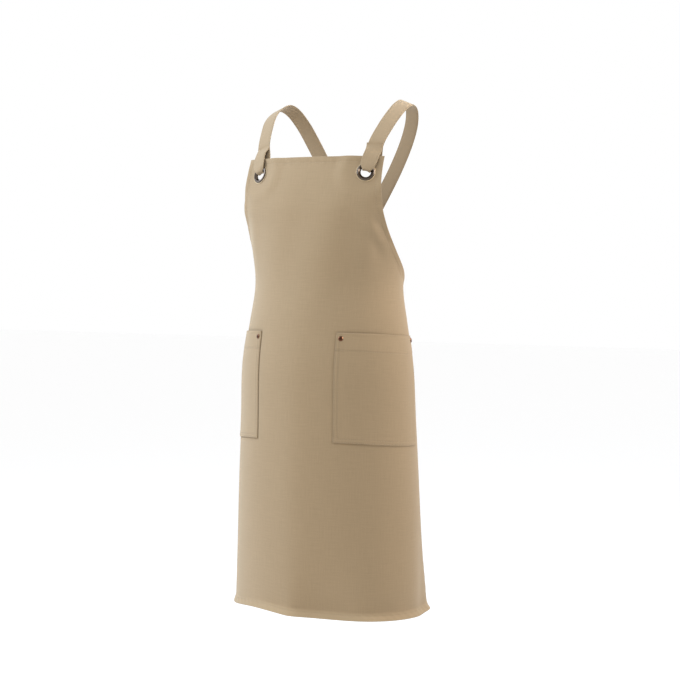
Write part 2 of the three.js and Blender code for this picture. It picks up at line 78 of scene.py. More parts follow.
# Node settings, and the colour sockets of a mix node
MIX_COLOURS = {"data_type": "RGBA"}
MIX_A, MIX_B, MIX_RESULT = 6, 7, 2
TIMES_PLUS = {"operation": "MULTIPLY_ADD"}
FLAT_NOISE = {"noise_dimensions": "2D"}
# A wave node goes through this many radians over one unit of its scaled coordinate
WAVE_RADIANS = 20

log = logging.getLogger("apron")


class Side(Enum):
    """The wearer's left or right, with the sign of its X."""

    LEFT = 1
    RIGHT = -1

    @property
    def hand(self) -> str:
        """The word that starts the names of this side's pieces."""
        return self.name.lower()


class Corner(Enum):
    """A top corner of a pocket."""

    INNER = "inner"
    OUTER = "outer"


class Slot(Enum):
    """The record's material slots."""

    CLOTH = "cotton_twill"
    STRAP = "strap_twill"
    EYELET = "gunmetal"
    RIVET = "antique_copper"


# Small helpers


def linear(code: str) -> tuple[float, float, float, float]:
    """Turns an sRGB hex colour into linear RGBA.

    Args:
        code: Six hex digits.

    Returns:
        Red, green and blue as linear light, and an alpha of 1.
    """
    shares = [int(code[i : i + 2], 16) / 255 for i in (0, 2, 4)]
    red, green, blue = (c / 12.92 if c <= 0.04045 else ((c + 0.055) / 1.055) ** 2.4 for c in shares)
    return (red, green, blue, 1.0)


def add_node(
    tree: bpy.types.NodeTree,
    kind: str,
    settings: dict[str, Any] | None = None,
    inputs: dict[str | int, Any] | None = None,
) -> bpy.types.Node:
    """Adds a node to a material.

    Args:
        tree: The material's node tree.
        kind: The node's type name.
        settings: Values of the node's own properties.
        inputs: For each input's name or number, a value, or an output socket to link to it.

    Returns:
        The new node.
    """
    node = tree.nodes.new(kind)
    for name, value in (settings or {}).items():
        setattr(node, name, value)
    for name, value in (inputs or {}).items():
        if isinstance(value, bpy.types.NodeSocket):
            tree.links.new(value, node.inputs[name])
        else:
            node.inputs[name].default_value = value
    return node


def new_material(name: str) -> tuple[bpy.types.Material, bpy.types.NodeTree]:
    """Makes a node material.

    Args:
        name: The material's name.

    Returns:
        The material and its emptied node tree.
    """
    material = bpy.data.materials.new(name)
    material.use_nodes = True
    material.node_tree.nodes.clear()
    return material, material.node_tree


def smooth_step(low: float, high: float, x: Array | float) -> Any:
    """Rises smoothly from 0 at low to 1 at high."""
    share = np.clip((np.asarray(x, float) - low) / (high - low), 0.0, 1.0)
    return share * share * (3 - 2 * share)


def within(distance: Array, width: float, fade: tuple[float, float]) -> Array:
    """1 nearer than a width and 0 beyond it, with the fade's start and end counted from the width."""
    return 1 - smooth_step(width + fade[0], width + fade[1], distance)


def bump_at(x: Array, centre: float, spread: float) -> Array:
    """A soft bump of height 1 at centre."""
    return np.exp(-(((x - centre) / spread) ** 2))


def unit(vectors: Array) -> Array:
    """Scales vectors to length 1."""
    return vectors / np.linalg.norm(vectors, axis=-1, keepdims=True)


def rounded_edge(inside: Array, radius: float) -> Array:
    """The share of its full thickness that cloth has at distances inside its rounded edge."""
    return np.sqrt(np.clip(1 - (1 - np.clip(inside / radius, 0, 1)) ** 2, 0, 1))


def reach_along(path: Array) -> Array:
    """The distance along a path from its start to each of its points."""
    return np.concatenate([[0.0], np.cumsum(np.linalg.norm(np.diff(path, axis=0), axis=1))])


def read_along(reach: Array, values: Array, at: Array) -> Array:
    """The columns of values along a path, read at distances from its start."""
    return np.stack([np.interp(at, reach, column) for column in values.T], axis=1)


def curve_through(values: Array, slopes: Array, knots: Array, i: Array, u: Array) -> Array:
    """Reads a smooth curve that goes through values at knots.

    Args:
        values: A value, or a row of values, at each knot.
        slopes: The curve's slope at each knot.
        knots: Where the knots lie, in rising order.
        i: The number of the knot before each place that is read.
        u: The share of the way from there to the next knot.

    Returns:
        The curve at each place.
    """
    span = knots[i + 1] - knots[i]
    if values.ndim == 2:
        u, span = u[:, None], span[:, None]
    blend = u * u * (3 - 2 * u)
    bend = u * (1 - u) * ((1 - u) * slopes[i] - u * slopes[i + 1]) * span
    return values[i] * (1 - blend) + values[i + 1] * blend + bend


def pattern_tree(points: Array) -> KDTree:
    """Makes a search tree of pattern points.

    Args:
        points: One point a row.

    Returns:
        The tree.
    """
    tree = KDTree(len(points))
    for i, (s, v) in enumerate(points):
        tree.insert((s, v, 0.0), i)
    tree.balance()
    return tree


def clear_of(tree: KDTree, points: Array, gap: float) -> Array:
    """Which pattern points lie farther than a gap from all those in a tree."""
    return np.array([tree.find((s, v, 0.0))[2] > gap for s, v in points])


def deselect_all() -> None:
    """Leaves object mode with nothing selected."""
    if bpy.context.object and bpy.context.object.mode != "OBJECT":
        bpy.ops.object.mode_set(mode="OBJECT")
    bpy.ops.object.select_all(action="DESELECT")


def write_values(mesh: bpy.types.Mesh, name: str, values: Array) -> None:
    """Stores a number for each vertex, for the mesh's material to read."""
    mesh.attributes.new(name, "FLOAT", "POINT").data.foreach_set("value", values.astype(np.float32))


def mesh_object(
    name: str,
    points: Array,
    faces: Faces,
    material: bpy.types.Material,
    uv: Array | None = None,
    sharp_above: float = 50.0,
    values: dict[str, Array] | None = None,
) -> bpy.types.Object:
    """Makes a shaded mesh object at the origin.

    Args:
        name: The piece's name.
        points: Vertices in millimetres.
        faces: Vertex numbers of each face, in order round it as seen from outside.
        material: The piece's finish.
        uv: Pattern coordinates of each vertex in metres, for a cloth piece.
        sharp_above: Edges that bend by more than this many degrees stay sharp.
        values: Numbers for each vertex that the finish reads, by name.

    Returns:
        The object.
    """
    mesh = bpy.data.meshes.new(name)
    mesh.from_pydata((points * MM).tolist(), [], [list(map(int, face)) for face in faces])
    if uv is not None:
        corner = np.zeros(len(mesh.loops), np.int32)
        mesh.loops.foreach_get("vertex_index", corner)
        layer = mesh.uv_layers.new(name=CLOTH_UV)
        layer.data.foreach_set("uv", uv[corner].astype(np.float32).ravel())
    for key, numbers in (values or {}).items():
        write_values(mesh, key, numbers)
    mesh.materials.append(material)
    piece = bpy.data.objects.new(name, mesh)
    bpy.context.scene.collection.objects.link(piece)
    deselect_all()
    piece.select_set(True)
    bpy.context.view_layer.objects.active = piece
    bpy.ops.object.shade_smooth_by_angle(angle=math.radians(sharp_above))
    return piece


def settle(piece: bpy.types.Object, slot: Slot, *nodes: str) -> bpy.types.Object:
    """Rides a finished piece on the part, and hides the CAD nodes that it stands for.

    Args:
        piece: The finished piece.
        slot: The record's material slot; not used.
        nodes: CAD nodes that it replaces.

    Returns:
        The piece.
    """
    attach(piece, BODY)
    if nodes:
        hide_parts(*nodes)
    log.info("%s: %d faces", piece.name, len(piece.data.polygons))
    return piece


# Finishes


@dataclass(frozen=True)
class TwillFinish:
    """Cotton twill, yarn dyed and pressed: matt, with fine diagonal ribs and a slightly uneven yarn."""

    name: str
    dark: str = "867154"
    light: str = "927b5d"
    # The colours of the painted shade along seams and of the painted light on the bottom hem
    seam: str = "4f3f2b"
    painted_hem_light: str = "a28b6a"
    rib_mm: float = 1.9
    rib_lean_degrees: float = 55.0
    rib_wander: float = 1.2
    slub_across_mm: float = 1.6
    slub_along_mm: float = 34.0
    cloud_mm: float = 70.0
    rib_share: float = 0.5
    cloud_share: float = 0.22
    darkest_tone: float = 0.7
    lightest_tone: float = 2.0
    relief: float = 0.22
    relief_mm: float = 0.16
    yarn_relief: float = 0.5
    roughness: float = 0.9
    specular: float = 0.3
    sheen: str = "fff6e4"
    sheen_weight: float = 0.25
    sheen_roughness: float = 0.5

    def material(self) -> bpy.types.Material:
        """Builds the finish.

        Returns:
            The material, which reads the piece's pattern coordinates, its painted hem light and its painted
            seam shade.
        """
        material, tree = new_material(self.name)
        pattern = add_node(tree, "ShaderNodeUVMap", {"uv_map": CLOTH_UV}).outputs["UV"]
        # Real ribs are about 0.6 mm apart, too fine to show, so they are drawn about three times as coarse.
        lean = (0.0, 0.0, math.radians(self.rib_lean_degrees))
        leaning = add_node(tree, "ShaderNodeMapping", inputs={"Vector": pattern, "Rotation": lean})
        ribs = add_node(
            tree,
            "ShaderNodeTexWave",
            {"wave_type": "BANDS", "bands_direction": "X", "wave_profile": "SIN"},
            {
                "Vector": leaning.outputs["Vector"],
                "Scale": 2 * math.pi / WAVE_RADIANS / (self.rib_mm * MM),
                "Distortion": self.rib_wander,
                "Detail": 1.0,
                "Detail Scale": 0.6,
            },
        ).outputs["Fac"]
        # The warp and the weft are noise that is drawn out along their yarns.
        across, along = 1 / (self.slub_across_mm * MM), 1 / (self.slub_along_mm * MM)
        yarns = []
        for scale in ((across, along, 1.0), (along, across, 1.0)):
            drawn = add_node(tree, "ShaderNodeMapping", inputs={"Vector": pattern, "Scale": scale})
            inputs = {"Vector": drawn.outputs["Vector"], "Scale": 1.0, "Detail": 2.0, "Roughness": 0.6}
            yarns.append(add_node(tree, "ShaderNodeTexNoise", FLAT_NOISE, inputs).outputs["Fac"])
        yarn = add_node(tree, "ShaderNodeMath", {"operation": "ADD"}, dict(enumerate(yarns))).outputs[0]
        cloud = add_node(
            tree,
            "ShaderNodeTexNoise",
            FLAT_NOISE,
            {"Vector": pattern, "Scale": 1 / (self.cloud_mm * MM), "Detail": 2.0, "Roughness": 0.5},
        ).outputs["Fac"]
        uneven = add_node(
            tree, "ShaderNodeMath", TIMES_PLUS, {0: cloud, 1: self.cloud_share, 2: yarn}
        ).outputs[0]
        tone = add_node(
            tree, "ShaderNodeMath", TIMES_PLUS, {0: ribs, 1: self.rib_share, 2: uneven}
        ).outputs[0]
        share = add_node(
            tree,
            "ShaderNodeMapRange",
            inputs={"Value": tone, "From Min": self.darkest_tone, "From Max": self.lightest_tone},
        ).outputs["Result"]
        colour = add_node(
            tree,
            "ShaderNodeMix",
            MIX_COLOURS,
            {"Factor": share, MIX_A: linear(self.dark), MIX_B: linear(self.light)},
        ).outputs[MIX_RESULT]
        # Painted light: the skirt's bottom hem band is mixed towards a lighter colour. Painted shade: cloth
        # along the seams and round the pockets is mixed towards a darker colour.
        for mark, tint in ((PAINTED_HEM_LIGHT, self.painted_hem_light), (PAINTED_SEAM_SHADE, self.seam)):
            amount = add_node(tree, "ShaderNodeAttribute", {"attribute_name": mark}).outputs["Fac"]
            colour = add_node(
                tree, "ShaderNodeMix", MIX_COLOURS, {"Factor": amount, MIX_A: colour, MIX_B: linear(tint)}
            ).outputs[MIX_RESULT]
        height = add_node(
            tree, "ShaderNodeMath", TIMES_PLUS, {0: yarn, 1: self.yarn_relief, 2: ribs}
        ).outputs[0]
        bump = add_node(
            tree,
            "ShaderNodeBump",
            inputs={"Height": height, "Strength": self.relief, "Distance": self.relief_mm * MM},
        ).outputs["Normal"]
        cloth = add_node(
            tree,
            "ShaderNodeBsdfPrincipled",
            inputs={
                "Base Color": colour,
                "Roughness": self.roughness,
                "Specular IOR Level": self.specular,
                "Sheen Weight": self.sheen_weight,
                "Sheen Roughness": self.sheen_roughness,
                "Sheen Tint": linear(self.sheen),
                "Normal": bump,
            },
        )
        add_node(tree, "ShaderNodeOutputMaterial", inputs={"Surface": cloth.outputs["BSDF"]})
        return material


@dataclass(frozen=True)
class ThreadFinish:
    """Polyester-cotton sewing thread in the cloth's colour: a little smoother and lighter than the twill."""

    name: str = "sewing_thread"
    dark: str = "847052"
    light: str = "a0896a"
    patch_mm: float = 9.0
    roughness: float = 0.62
    sheen_weight: float = 0.1

    def material(self) -> bpy.types.Material:
        """Builds the finish.

        Returns:
            The material, which reads the piece's place.
        """
        material, tree = new_material(self.name)
        place = add_node(tree, "ShaderNodeTexCoord").outputs["Object"]
        tone = add_node(
            tree,
            "ShaderNodeTexNoise",
            inputs={"Vector": place, "Scale": 1 / (self.patch_mm * MM), "Detail": 1.0},
        ).outputs["Fac"]
        colour = add_node(
            tree,
            "ShaderNodeMix",
            MIX_COLOURS,
            {"Factor": tone, MIX_A: linear(self.dark), MIX_B: linear(self.light)},
        ).outputs[MIX_RESULT]
        thread = add_node(
            tree,
            "ShaderNodeBsdfPrincipled",
            inputs={"Base Color": colour, "Roughness": self.roughness, "Sheen Weight": self.sheen_weight},
        )
        add_node(tree, "ShaderNodeOutputMaterial", inputs={"Surface": thread.outputs["BSDF"]})
        return material


@dataclass(frozen=True)
class PlatedFinish:
    """Plated and lacquered brass, pressed from sheet: smooth and dark, lighter where a vertex value marks
    worn metal, and on an eyelet's flange a painted reflection.
    """

    name: str
    dark: str
    light: str
    roughness: float
    mark_mm: float = 2.4
    mark_depth: float = 0.08
    mark_share: float = 0.3
    faint_mark: float = 0.25
    strong_mark: float = 0.75
    dulling: float = 0.5

    def material(self) -> bpy.types.Material:
        """Builds the finish.

        Returns:
            The material, which reads the piece's place and its vertex value for worn metal and painted
            reflection.
        """
        material, tree = new_material(self.name)
        place = add_node(tree, "ShaderNodeTexCoord").outputs["Object"]
        marks = add_node(
            tree,
            "ShaderNodeTexNoise",
            inputs={"Vector": place, "Scale": 1 / (self.mark_mm * MM), "Detail": 4.0, "Roughness": 0.6},
        ).outputs["Fac"]
        worn_and_reflecting = add_node(tree, "ShaderNodeAttribute", {"attribute_name": WEAR_AND_PAINTED_REFLECTION}).outputs["Fac"]
        bright = add_node(
            tree,
            "ShaderNodeMath",
            {**TIMES_PLUS, "use_clamp": True},
            {0: marks, 1: self.mark_share, 2: worn_and_reflecting},
        ).outputs[0]
        colour = add_node(
            tree,
            "ShaderNodeMix",
            MIX_COLOURS,
            {"Factor": bright, MIX_A: linear(self.dark), MIX_B: linear(self.light)},
        ).outputs[MIX_RESULT]
        rough = add_node(
            tree,
            "ShaderNodeMapRange",
            inputs={
                "Value": marks,
                "From Min": self.faint_mark,
                "From Max": self.strong_mark,
                "To Min": self.roughness - self.mark_depth / 2,
                "To Max": self.roughness + self.mark_depth,
            },
        ).outputs["Result"]
        # Rubbing also dulls the lacquer, and the eyelet's painted reflection is made as rough, so the bright
        # parts are satin.
        satin = add_node(
            tree, "ShaderNodeMath", TIMES_PLUS, {0: worn_and_reflecting, 1: self.dulling, 2: rough}
        ).outputs[0]
        metal = add_node(
            tree,
            "ShaderNodeBsdfPrincipled",
            inputs={"Base Color": colour, "Metallic": 1.0, "Roughness": satin},
        )
        add_node(tree, "ShaderNodeOutputMaterial", inputs={"Surface": metal.outputs["BSDF"]})
        return material


@dataclass(frozen=True)
class FloorFinish:
    """Matt white studio floor, painted: it throws light back up and shows no reflections."""

    name: str = "studio_floor"
    colour: str = "fdfdfd"
    roughness: float = 0.95
    specular: float = 0.1

    def material(self) -> bpy.types.Material:
        """Builds the finish.

        Returns:
            The material.
        """
        material, tree = new_material(self.name)
        floor = add_node(
            tree,
            "ShaderNodeBsdfPrincipled",
            inputs={
                "Base Color": linear(self.colour),
                "Roughness": self.roughness,
                "Specular IOR Level": self.specular,
            },
        )
        add_node(tree, "ShaderNodeOutputMaterial", inputs={"Surface": floor.outputs["BSDF"]})
        return material


# The worn shape


@dataclass(frozen=True)
class Section:
    """A level section through the worn cloth: half an ellipse in front of its widest place, half behind."""

    z: float
    half_width: float
    front: float
    back: float
    middle_y: float


@dataclass(frozen=True)
class Fold:
    """A soft fold: where it is deepest, its spread across and along its run, its depth and its lean."""

    s: float
    v: float
    across: float
    along: float
    depth: float
    lean_degrees: float = 0.0


@dataclass(frozen=True)
class Patch:
    """Places on the panel's cloth: points on its middle and the directions out of it, a row each."""

    middle: Array
    normal: Array

    def lifted(self, height: Array) -> Array:
        """The points at heights over the cloth's middle."""
        return self.middle + height[:, None] * self.normal


@dataclass
class WornForm:
    """The shape that the cloth takes over the body, as a map from the pattern to space."""

    bib_top: float = -109.0
    waist: float = -352.0
    hem: float = -961.5
    bib_half: float = 150.0
    skirt_half: float = 360.0
    armhole_drop: float = 2.4
    armhole_sweep: float = 1 / 2.6
    droop: float = 9.0
    droop_from: float = 83.0
    droop_to: float = 270.0
    droop_top: float = -495.0
    droop_bottom: float = -637.0
    skew: float = 4.5
    skew_left_reach: float = 160.0
    skew_right_reach: float = 75.0
    skew_right_limit: float = 2.4
    left_eyelet_s: float = 120.0
    right_eyelet_s: float = -111.0
    eyelet_below_top: float = 30.0
    eyelet_flat: float = 34.0
    eyelet_fade: float = 62.0
    sections: tuple[Section, ...] = (
        Section(-966, 193, 152, 154, -35),
        Section(-850, 188, 146, 149, -40),
        Section(-720, 182, 142, 144, -46),
        Section(-600, 176, 137, 138, -51),
        Section(-500, 172, 134, 128, -54),
        Section(-420, 160, 125, 110, -53),
        Section(-345, 150, 115, 103, -53),
        Section(-275, 160, 114, 106, -53),
        Section(-235, 172, 116, 104, -50),
        Section(-200, 194, 119, 102, -45),
        Section(-155, 204, 121, 100, -33),
        Section(-107, 208, 122, 100, -17),
    )
    folds: tuple[Fold, ...] = (
        Fold(80, -985, 50, 115, -11),
        Fold(42, -985, 26, 80, -4.5),
        Fold(185, -985, 52, 160, 5),
        Fold(-110, -985, 80, 160, -4),
        Fold(300, -985, 34, 220, -6),
        Fold(-300, -985, 34, 220, -6),
        Fold(352, -985, 26, 130, 4),
        Fold(-352, -985, 26, 130, 4),
        Fold(128, -262, 20, 60, 3),
        Fold(-128, -262, 20, 60, 3),
        Fold(-12, -262, 34, 105, -2.2, 13.6),
        Fold(66, -262, 36, 105, 3.6, 13.6),
        Fold(150, -253, 9, 32, 4.0, -37),
        Fold(135, -264, 10, 32, -1.2, -37),
        Fold(160, -205, 15, 60, -3.0),
        Fold(4, -955, 16, 50, 1.6),
        Fold(8, -745, 38, 290, 3.0),
        Fold(150, -946, 130, 20, -3.0),
    )
    grid_step: float = 2.5
    grid_across: float = 441.0
    grid_low: float = -1010.0
    grid_high: float = -84.0
    section_points: int = 361
    slope_step: float = 3.0
    _s: Array = field(init=False, repr=False)
    _z: Array = field(init=False, repr=False)
    _xy: Array = field(init=False, repr=False)
    eyelets: dict[Side, tuple[Array, Array]] = field(init=False, repr=False)

    def __post_init__(self) -> None:
        """Works out the level sections, and the planes that the eyelets press flat."""
        self._s = np.arange(0.0, self.grid_across, self.grid_step)
        self._z = np.arange(self.grid_low, self.grid_high, self.grid_step)
        columns = {name: self._column(name) for name in ("half_width", "front", "back", "middle_y")}
        angle = np.linspace(0.0, np.pi, self.section_points)
        rows = []
        for i in range(len(self._z)):
            depth = np.where(angle < np.pi / 2, columns["front"][i], columns["back"][i])
            x = columns["half_width"][i] * np.sin(angle)
            y = columns["middle_y"][i] - depth * np.cos(angle)
            section = np.stack([x, y], axis=1)
            rows.append(read_along(reach_along(section), section, self._s))
        self._xy = np.array(rows)
        self.eyelets = {}
        for side in Side:
            s, v = (np.array([x]) for x in self.eyelet_at(side))
            self.eyelets[side] = (self.folded(s, v)[0], self.normal(s, v, self.folded)[0])

    def eyelet_at(self, side: Side) -> tuple[float, float]:
        """The place on the pattern of an eyelet's centre."""
        s = self.left_eyelet_s if side is Side.LEFT else self.right_eyelet_s
        return s, self.bib_top - self.eyelet_below_top

    def _column(self, name: str) -> Array:
        """Reads a column of the sections at every height of the grid, on a smooth curve through the rows.

        Args:
            name: The column.

        Returns:
            Its value at each height.
        """
        z = np.array([row.z for row in self.sections])
        value = np.array([getattr(row, name) for row in self.sections])
        before = np.maximum(np.arange(len(z)) - 1, 0)
        after = np.minimum(np.arange(len(z)) + 1, len(z) - 1)
        slope = (value[after] - value[before]) / (z[after] - z[before])
        i = np.clip(np.searchsorted(z, self._z) - 1, 0, len(z) - 2)
        return curve_through(value, slope, z, i, (self._z - z[i]) / (z[i + 1] - z[i]))

    def on_section(self, s: Array, z: Array) -> Array:
        """Finds the points at distances s across the cloth on the level sections at heights z.

        Args:
            s: Distances from the centre line, to the wearer's left above zero.
            z: Heights.

        Returns:
            One point a row.
        """
        # The last cell of the grid is read just short of its end, so that the next row and column exist.
        across = np.clip(np.abs(s) / self.grid_step, 0, len(self._s) - 1.001)
        height = np.clip((z - self._z[0]) / self.grid_step, 0, len(self._z) - 1.001)
        j, i = across.astype(int), height.astype(int)
        a, b = (across - j)[:, None], (height - i)[:, None]
        low = self._xy[i, j] * (1 - a) + self._xy[i, j + 1] * a
        high = self._xy[i + 1, j] * (1 - a) + self._xy[i + 1, j + 1] * a
        xy = low * (1 - b) + high * b
        return np.stack([np.sign(s) * xy[:, 0], xy[:, 1], z], axis=1)

    def smooth(self, s: Array, v: Array) -> Array:
        """Lays the cloth over the body before its folds, lower at the hips' sides and at the hem's left.

        Args:
            s: Distances across the cloth.
            v: Heights on the pattern.

        Returns:
            One point a row.
        """
        across = smooth_step(self.droop_from, self.droop_to, np.abs(s))
        below = 1 - smooth_step(self.droop_top, self.waist, v)
        above = smooth_step(self.hem, self.droop_bottom, v)
        left = np.minimum(s / self.skew_left_reach, 1.0)
        right = np.maximum(s / self.skew_right_reach, -self.skew_right_limit)
        lean = np.sin(np.pi / 2 * np.where(s > 0, left, right))
        return self.on_section(s, v - self.droop * across * below * above - self.skew * lean * (1 - above))

    def folded(self, s: Array, v: Array) -> Array:
        """Lays the cloth with its soft folds.

        Args:
            s: Distances across the cloth.
            v: Heights on the pattern.

        Returns:
            One point a row.
        """
        depth = np.zeros_like(s)
        for fold in self.folds:
            lean = math.radians(fold.lean_degrees)
            ds, dv = s - fold.s, v - fold.v
            across = (ds * math.cos(lean) - dv * math.sin(lean)) / fold.across
            along = (ds * math.sin(lean) + dv * math.cos(lean)) / fold.along
            depth += fold.depth * np.exp(-(across**2) - along**2)
        return self.smooth(s, v) + depth[:, None] * self.normal(s, v, self.smooth)

    def surface(self, s: Array, v: Array) -> Array:
        """Lays the middle of the panel's cloth, pressed flat where an eyelet clamps it.

        Args:
            s: Distances across the cloth.
            v: Heights on the pattern.

        Returns:
            One point a row.
        """
        points = self.folded(s, v)
        for centre, normal in self.eyelets.values():
            away = points - centre
            flat = 1 - smooth_step(self.eyelet_flat, self.eyelet_fade, np.linalg.norm(away, axis=1))
            points = points - (flat * (away @ normal))[:, None] * normal
        return points

    def normal(
        self, s: Array, v: Array, surface: Callable[[Array, Array], Array] | None = None
    ) -> Array:
        """Finds the outward directions of a surface.

        Args:
            s: Distances across the cloth.
            v: Heights on the pattern.
            surface: The map from the pattern, or the panel's own.

        Returns:
            One direction a row.
        """
        at = surface or self.surface
        across = at(s + self.slope_step, v) - at(s - self.slope_step, v)
        up = at(s, v + self.slope_step) - at(s, v - self.slope_step)
        return unit(np.cross(across, up))

    def patch(self, s: Array, v: Array) -> Patch:
        """The panel's middle and its outward directions at places of the pattern."""
        return Patch(self.surface(s, v), self.normal(s, v))

    def half_width(self, v: Array) -> Array:
        """Measures half the width of the panel: the bib, the armhole's sweep and the skirt.

        Args:
            v: Heights on the pattern.

        Returns:
            The half width at each height.
        """
        down = np.clip((self.bib_top - v) / (self.bib_top - self.waist), 0.0, 1.0)
        sweep = (1 - down**self.armhole_drop) ** self.armhole_sweep
        return self.skirt_half - (self.skirt_half - self.bib_half) * sweep


# Flat patterns


@dataclass(frozen=True)
class Hole:
    """A round hole in the cloth: its centre, and its radius with those of the rings of points round it."""

    s: float
    v: float
    radii: tuple[float, ...]

    def distance(self, points: Array) -> Array:
        """How far pattern points lie from the hole's centre."""
        return np.hypot(points[:, 0] - self.s, points[:, 1] - self.v)


@dataclass
class FlatCut:
    """A cut of cloth on the table: points between its edge and its holes, and triangles between them."""

    outline: Array
    holes: tuple[Hole, ...]
    insets: tuple[float, ...]
    spacing: float
    lines: Array
    row_share: float = 0.866
    edge_margin: float = 0.7
    hole_margin: float = 0.6
    inset_slip: float = 0.04
    ring_step: float = 1.2
    ring_step_growth: float = 0.12
    ring_sides: int = 12
    merge_within: float = 1e-4
    points: Array = field(init=False)
    triangles: Array = field(init=False)

    def __post_init__(self) -> None:
        """Fills the cut with points and triangulates it."""
        edge = pattern_tree(self.outline)
        rings = [self.outline, *self._inset_points(edge)]
        loops = [np.arange(len(self.outline))]
        count = sum(len(ring) for ring in rings)
        for hole in self.holes:
            around = self._hole_rings(hole)
            loops.append(np.arange(count, count + len(around[0])))
            rings += around
            count += sum(len(ring) for ring in around)
        rings += [self.lines, self._filling(edge)]
        flat = [Vector((float(s), float(v))) for s, v in np.concatenate(rings)]
        edges = [pair for loop in loops for pair in zip(loop.tolist(), np.roll(loop, -1).tolist())]
        made = delaunay_2d_cdt(flat, edges, [], 1, self.merge_within, False)
        self.points = np.array([(p.x, p.y) for p in made[0]])
        triangles = np.array([face for face in made[2] if len(face) == 3])
        middle = self.points[triangles].mean(axis=1)
        keep = self._inside(middle)
        for hole in self.holes:
            keep &= hole.distance(middle) > hole.radii[0]
        triangles = triangles[keep]
        over = self._turns(triangles) < 0
        triangles[over] = triangles[over][:, ::-1]
        self.triangles = triangles

    def _inset_points(self, edge: KDTree) -> list[Array]:
        """Sets points at the inset distances inside the outline, for the relief of hems and seams.

        Args:
            edge: The outline's points.

        Returns:
            The points for each distance.
        """
        along = unit(np.roll(self.outline, -1, axis=0) - np.roll(self.outline, 1, axis=0))
        inward = np.stack([-along[:, 1], along[:, 0]], axis=1)
        rows = []
        for inset in self.insets:
            moved = self.outline + inset * inward
            rows.append(moved[clear_of(edge, moved, inset - self.inset_slip)])
        return rows

    def _hole_rings(self, hole: Hole) -> list[Array]:
        """Sets rings of points round a hole, closer together than elsewhere.

        Args:
            hole: The hole.

        Returns:
            The points of each ring, with the hole's own edge first.
        """
        rings = []
        for radius in hole.radii:
            step = min(self.spacing, self.ring_step + self.ring_step_growth * radius)
            turns = max(self.ring_sides, int(2 * math.pi * radius / step))
            angle = np.linspace(0, 2 * math.pi, turns, endpoint=False)
            rings.append(np.stack([hole.s + radius * np.cos(angle), hole.v + radius * np.sin(angle)], axis=1))
        return rings

    def _filling(self, edge: KDTree) -> Array:
        """Sets staggered rows of points over the middle of the cut.

        Args:
            edge: The outline's points.

        Returns:
            One point a row.
        """
        low, high = self.outline.min(axis=0), self.outline.max(axis=0)
        found: list[tuple[float, float]] = []
        for i, v in enumerate(np.arange(low[1], high[1], self.spacing * self.row_share)):
            start = low[0] + (0.5 * self.spacing if i % 2 else 0.0)
            found += [(s, v) for s in np.arange(start, high[0], self.spacing)]
        grid = np.array(found)
        margin = self.edge_margin * self.spacing
        keep = self._inside(grid) & clear_of(edge, grid, max(self.insets) + margin)
        for hole in self.holes:
            keep &= hole.distance(grid) > hole.radii[-1] + self.hole_margin * self.spacing
        keep &= clear_of(pattern_tree(self.lines), grid, margin)
        return grid[keep]

    def _inside(self, points: Array) -> Array:
        """Tells which points lie inside the outline, by how often a level line from each one crosses it.

        Args:
            points: Pattern points.

        Returns:
            True or False for each point.
        """
        inside = np.zeros(len(points), bool)
        for a, b in zip(self.outline, np.roll(self.outline, -1, axis=0)):
            if a[1] == b[1]:
                continue
            spans = (a[1] > points[:, 1]) != (b[1] > points[:, 1])
            at = a[0] + (points[:, 1] - a[1]) / (b[1] - a[1]) * (b[0] - a[0])
            inside ^= spans & (points[:, 0] < at)
        return inside

    def _turns(self, triangles: Array) -> Array:
        """Twice the area of each triangle, below zero where its corners run with the clock."""
        a, b, c = (self.points[triangles[:, i]] for i in range(3))
        return (b[:, 0] - a[:, 0]) * (c[:, 1] - a[:, 1]) - (b[:, 1] - a[:, 1]) * (c[:, 0] - a[:, 0])

    def edge_distance(self) -> Array:
        """Measures how far each point lies inside the cut's edge.

        Returns:
            The distances.
        """
        nearest = np.full(len(self.points), np.inf)
        for a, b in zip(self.outline, np.roll(self.outline, -1, axis=0)):
            span = b - a
            share = np.clip((self.points - a) @ span / (span @ span), 0.0, 1.0)
            away = self.points - (a + share[:, None] * span)
            nearest = np.minimum(nearest, np.hypot(away[:, 0], away[:, 1]))
        return nearest

    def shell(self, front: Array, back: Array) -> tuple[Array, Faces, Array]:
        """Closes a front and a back layer of the cut into a wall.

        Args:
            front: The front layer's points in space.
            back: The back layer's points.

        Returns:
            Vertices, faces and pattern coordinates.
        """
        count = len(front)
        edges: dict[tuple[int, int], None] = {}
        for triangle in self.triangles.tolist():
            edges.update(dict.fromkeys(zip(triangle, triangle[1:] + triangle[:1])))
        rim = [(a, b) for a, b in edges if (b, a) not in edges]
        faces: Faces = self.triangles.tolist()
        faces += (self.triangles[:, ::-1] + count).tolist()
        faces += [(b, a, a + count, b + count) for a, b in rim]
        uv = np.concatenate([self.points, self.points]) * MM
        return np.concatenate([front, back]), faces, uv


def even_points(runs: Sequence[Array], spacing: float) -> Array:
    """Joins the runs of an outline into one loop of evenly spaced points.

    Args:
        runs: Runs of points from corner to corner, in order against the clock.
        spacing: The distance between points, about.

    Returns:
        The loop's points, with each corner once.
    """
    loop = []
    for run in runs:
        reach = reach_along(run)
        count = max(2, int(round(reach[-1] / spacing)))
        loop.append(read_along(reach, run, np.linspace(0.0, reach[-1], count, endpoint=False)))
    return np.concatenate(loop)


def straight_points(ends: Array) -> Array:
    """Points about 1 mm apart on a straight line between two ends."""
    count = max(2, int(np.hypot(*(ends[1] - ends[0]))))
    return ends[0] + np.linspace(0, 1, count)[:, None] * (ends[1] - ends[0])


# Stitching


